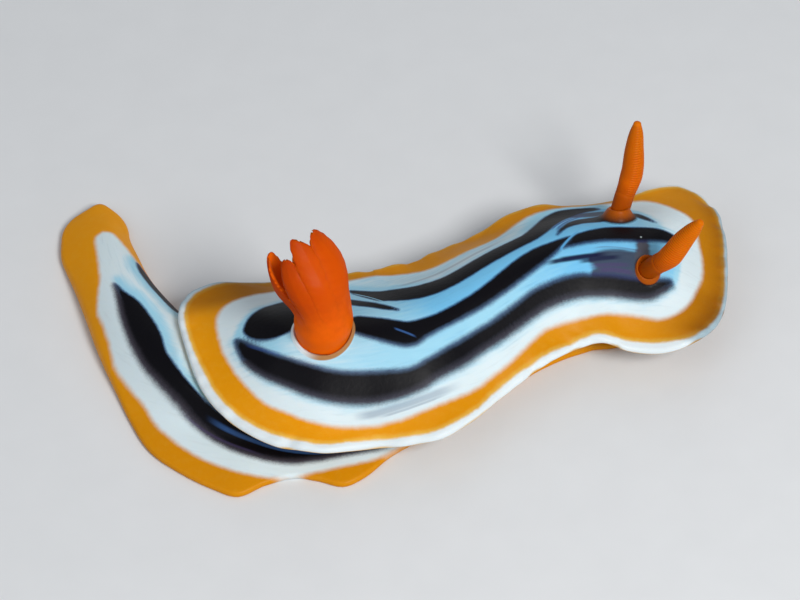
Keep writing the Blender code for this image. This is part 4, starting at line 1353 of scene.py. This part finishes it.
straight_feeler = make_feeler()
feeler_finish = finish_feeler()
for side in FEELER_LINES:
    plant_feeler(side, straight_feeler, feeler_finish)
bpy.data.objects.remove(straight_feeler)

# %% [markdown]
# The gills are eight leaf-shaped plumes in a ring round the vent. Half closed, as in the photograph, they
# stand like the petals of a tulip over a smooth round base. Each starts as the same two-layer slab as the
# mantle. It is wrapped round the ring as a broad leaf that swells, ends bluntly and leans back,
# and its edges dive a little, so that a shallow valley parts it from the next leaf.

# %% The gill plumes
# The middle of the ring, as (height, right, back).
GILL_LEAN = [
    (0, 0, 0), (2.5, 0.0, 0.15), (4.5, -0.75, 0.75), (6.5, -1.5, 1.8), (8, -2.2, 2.8), (9.4, -2.8, 3.5),
]
# How far the leaves stand out from there, by height: near and right, on the left, and on the far side.
NEAR_BELLY = [
    (0, 2.3), (1, 2.45), (2.4, 2.42), (4, 2.75), (5.5, 3.15), (6.5, 3.2), (7.4, 2.95), (8.1, 2.55),
    (9.3, 1.8),
]
LEFT_BELLY = [(0, 2.3), (1, 2.45), (2.4, 2.42), (3.3, 2.6), (4.3, 3.1), (5.6, 3.2), (6.3, 3.1), (7.1, 2.7)]
FAR_BELLY = [(0, 2.3), (1, 2.45), (2.4, 2.42), (4, 2.5), (5.5, 2.3), (7, 1.8), (8.3, 1.4)]
# Each leaf: its direction at the foot and at the tip and its half width, in degrees, its length, the share
# of its width that its tip keeps, how much its tip slants, and how far it stands out by itself.
LEAVES = [
    (-13, -18, 42, 9.05, 0.6, 0.0, 0.06),
    (45, 45, 32, 7.4, 0.5, 0.0, -0.2),
    (98, 102, 34, 6.4, 0.6, 0.0, -0.03),
    (142, 142, 30, 5.0, 0.5, 0.0, -0.2),
    (200, 176, 46, 6.7, 0.42, -0.05, 0.0),
    (260, 254, 25, 8.1, 0.6, 0.02, -0.04),
    (303, 296, 28, 9.1, 1.0, -0.05, 0.0),
    (326, 322, 28, 7.4, 0.4, 0.0, -0.12),
]
GILL_THICKNESS = [(0, 0.9), (0.4, 0.7), (0.8, 0.5), (1, 0.3)]
RIB_HEIGHT, FOLD_HEIGHT, FOLD_PITCH, DIVE = 0.03, 0.016, 0.62, 0.13
PLUME_COLUMNS, PLUME_ROWS = 32, 84

# %% [markdown]
# All the leaves lie on one swelling surface, the belly of the tuft. Each leaf is a width and a length on
# it, so they close up neatly and overlap only a little.

# %% One gill plume
def belly(angle, rise):
    """How far the tuft stands out at this direction and height."""
    degrees = np.degrees(angle) % 360
    left = ease(48, 8, np.abs(degrees - 174))
    far = ease(0.2, 0.95, np.sin(angle)) * (1 - left)
    near = along(NEAR_BELLY, rise)
    round_reach = near + (along(LEFT_BELLY, rise) - near) * left + (along(FAR_BELLY, rise) - near) * far
    return round_reach * (1 - 0.07 * np.exp(-(((degrees - 222) / 20) ** 2)) * ease(2.5, 4, rise))


def make_plume(number, finish):
    foot_turn, tip_turn, half_width, length, tip_width, slant, outwards = LEAVES[number]
    plume, across, up, inner = flat_slab(f"gill_plume_{number + 1}", PLUME_COLUMNS, PLUME_ROWS)
    share = (up + 1) / 2 * 1.06 - 0.06
    upper = ease(0.3, 0.6, share)
    rounded = np.sqrt(np.clip(1 - ((share - 0.9) / 0.1) ** 2, 0, 1)) * 0.9 + 0.1
    width = (1 - (1 - tip_width) * ease(0.7, 1.0, share)) * np.where(share > 0.9, rounded, 1.0)
    rise = share * length * (1 + slant * across * width * ease(0.5, 1.0, share))
    width *= 1 + 0.018 * np.sin(2 * math.pi * rise / 0.5 + number) * upper
    turn = np.radians(foot_turn + (tip_turn - foot_turn) * ease(0.5, 1.0, share))
    angle = turn + across * math.radians(half_width) * width
    radius = belly(angle, rise) + outwards * upper - DIVE * np.abs(across) ** 4 * (0.2 + 0.8 * upper)
    fold = np.sin(2 * math.pi * (rise / FOLD_PITCH - np.abs(across) * 0.9)) * np.abs(across) * upper
    radius += RIB_HEIGHT * np.exp(-((across / 0.2) ** 2)) * upper + FOLD_HEIGHT * fold
    thin_edge = np.sqrt(np.maximum(0, 1 - across**6)) * np.sqrt(np.clip((1 - share) * 14, 0, 1))
    radius = radius - np.where(inner, along(GILL_THICKNESS, share) * thin_edge, 0)
    height, right, behind = np.array(GILL_LEAN, float).T
    middle_x = GILL_CENTRE[0] + along(np.stack([height, right], -1), rise)
    middle_y = GILL_CENTRE[1] + along(np.stack([height, behind], -1), rise)
    u, v = back.read(np.array([GILL_CENTRE[0]]), np.array([GILL_CENTRE[1]]))
    x, y = middle_x + radius * np.cos(angle), middle_y + radius * np.sin(angle)
    move_points(plume, np.stack([x, y, mantle_level(u, v)[0] + rise], -1))
    add_reading(plume, "up_plume", share)
    add_reading(plume, "across_plume", np.abs(across))
    add_reading(plume, "fold", fold)
    add_reading(plume, "inner_face", inner)
    add_reading(plume, "leftness", 0.5 - 0.5 * np.cos(angle))
    close_and_face_out(plume)
    plume.data.materials.append(finish)
    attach(plume, "root")
    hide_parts(f"gill_{number + 1}")
    return plume

# %% [markdown]
# The plumes glow red-orange where the light comes through them. They are painted darker on the left,
# away from the lamp, in the grooves between them and in the troughs of their folds, as painted shade, and
# darker towards their tips. Their inner faces are painted lighter, as painted light that lifts the shade.

# %% Finish of the gills
def finish_gills():
    f = soft_flesh("gill_flesh", 0.5, 0.2, (1.0, 0.35, 0.08), 0.52, 0.02, 0.05)
    mottle = f.grain(0.8)
    up, across = f.reading("up_plume"), f.reading("across_plume")
    body = f.blend(f.step(up + mottle * 0.4, 0.1, 0.6), paint(240, 100, 2), paint(212, 80, 0))
    # painted shade: the left of the tuft, turned from the lamp, is painted darker above its base
    left = f.step(f.reading("leftness"), 0.1, 0.85) * f.step(up, 0.36, 0.64)
    body = f.blend(left * 0.75, body, paint(172, 56, 0))
    # painted shade: the edges of the leaves, where they meet in grooves, are painted darker
    edge = f.step(across + mottle * 0.2, 0.72, 1.02) * f.step(up, 0.2, 0.5)
    body = f.blend(edge * 0.4, body, paint(176, 54, 0))
    # painted shade: the troughs of the folds are painted a little darker
    body = f.blend(f.step(f.reading("fold"), 0.1, -0.8) * 0.14, body, paint(190, 60, 0))
    body = f.blend(f.step(up, 0.86, 1.0) * 0.4, body, paint(160, 48, 0))
    # painted light: the inner faces, in shade inside the tuft, are painted lighter
    f.colour(f.blend(f.reading("inner_face") * 0.9, body, paint(244, 104, 4)))
    f.relief(f.grain(0.14) * 0.4 + mottle * 0.3, 0.012)
    return f.material


gill_finish = finish_gills()
plumes = [make_plume(number, gill_finish) for number in range(len(LEAVES))]
print("gill plumes:", len(plumes), "of", len(plumes[0].data.polygons), "faces")

# %% [markdown]
# A plain pale floor and soft lights, as in a studio. A large soft lamp stands in front on the right, a
# little above the camera's side, so that the gills shade the back to their left as in the photograph.
# A weaker one fills in from the left, and the pale world lightens the shadows.

# %% Floor and lights
FLOOR_SIZE = 3.0


def add_floor():
    start_clean()
    bpy.ops.mesh.primitive_plane_add(size=FLOOR_SIZE)
    floor = bpy.context.object
    floor.name = "studio_floor"
    finish = Finish("pale_floor", {"Roughness": 0.7})
    finish.colour(finish.blend(finish.grain(4.0) + 0.5, paint(226, 228, 230), paint(231, 233, 235)))
    floor.data.materials.append(finish.material)


def add_lamp(name, direction, distance, size, watts, colour):
    bpy.ops.object.light_add(type="AREA", location=Vector(direction).normalized() * distance)
    lamp = bpy.context.object
    lamp.name = name
    lamp.data.size, lamp.data.energy, lamp.data.color = size, watts, colour
    lamp.rotation_euler = Vector([-part for part in direction]).to_track_quat("-Z", "Y").to_euler()


add_floor()
add_lamp("key_lamp", (0.55, -0.75, 0.95), 0.35, 0.12, 0.85, (1.0, 0.99, 0.97))
add_lamp("fill_lamp", (-0.8, -0.6, 0.9), 0.45, 0.3, 0.22, (0.96, 0.98, 1.0))
add_lamp("rim_lamp", (0.1, 0.9, 0.7), 0.45, 0.25, 0.12, (1.0, 1.0, 1.0))
world = bpy.data.worlds.new("studio")
world.use_nodes = True
world.node_tree.nodes["Background"].inputs["Color"].default_value = (0.86, 0.9, 0.96, 1)
world.node_tree.nodes["Background"].inputs["Strength"].default_value = 0.3
bpy.context.scene.world = world
bpy.context.scene.view_settings.view_transform = "Standard"
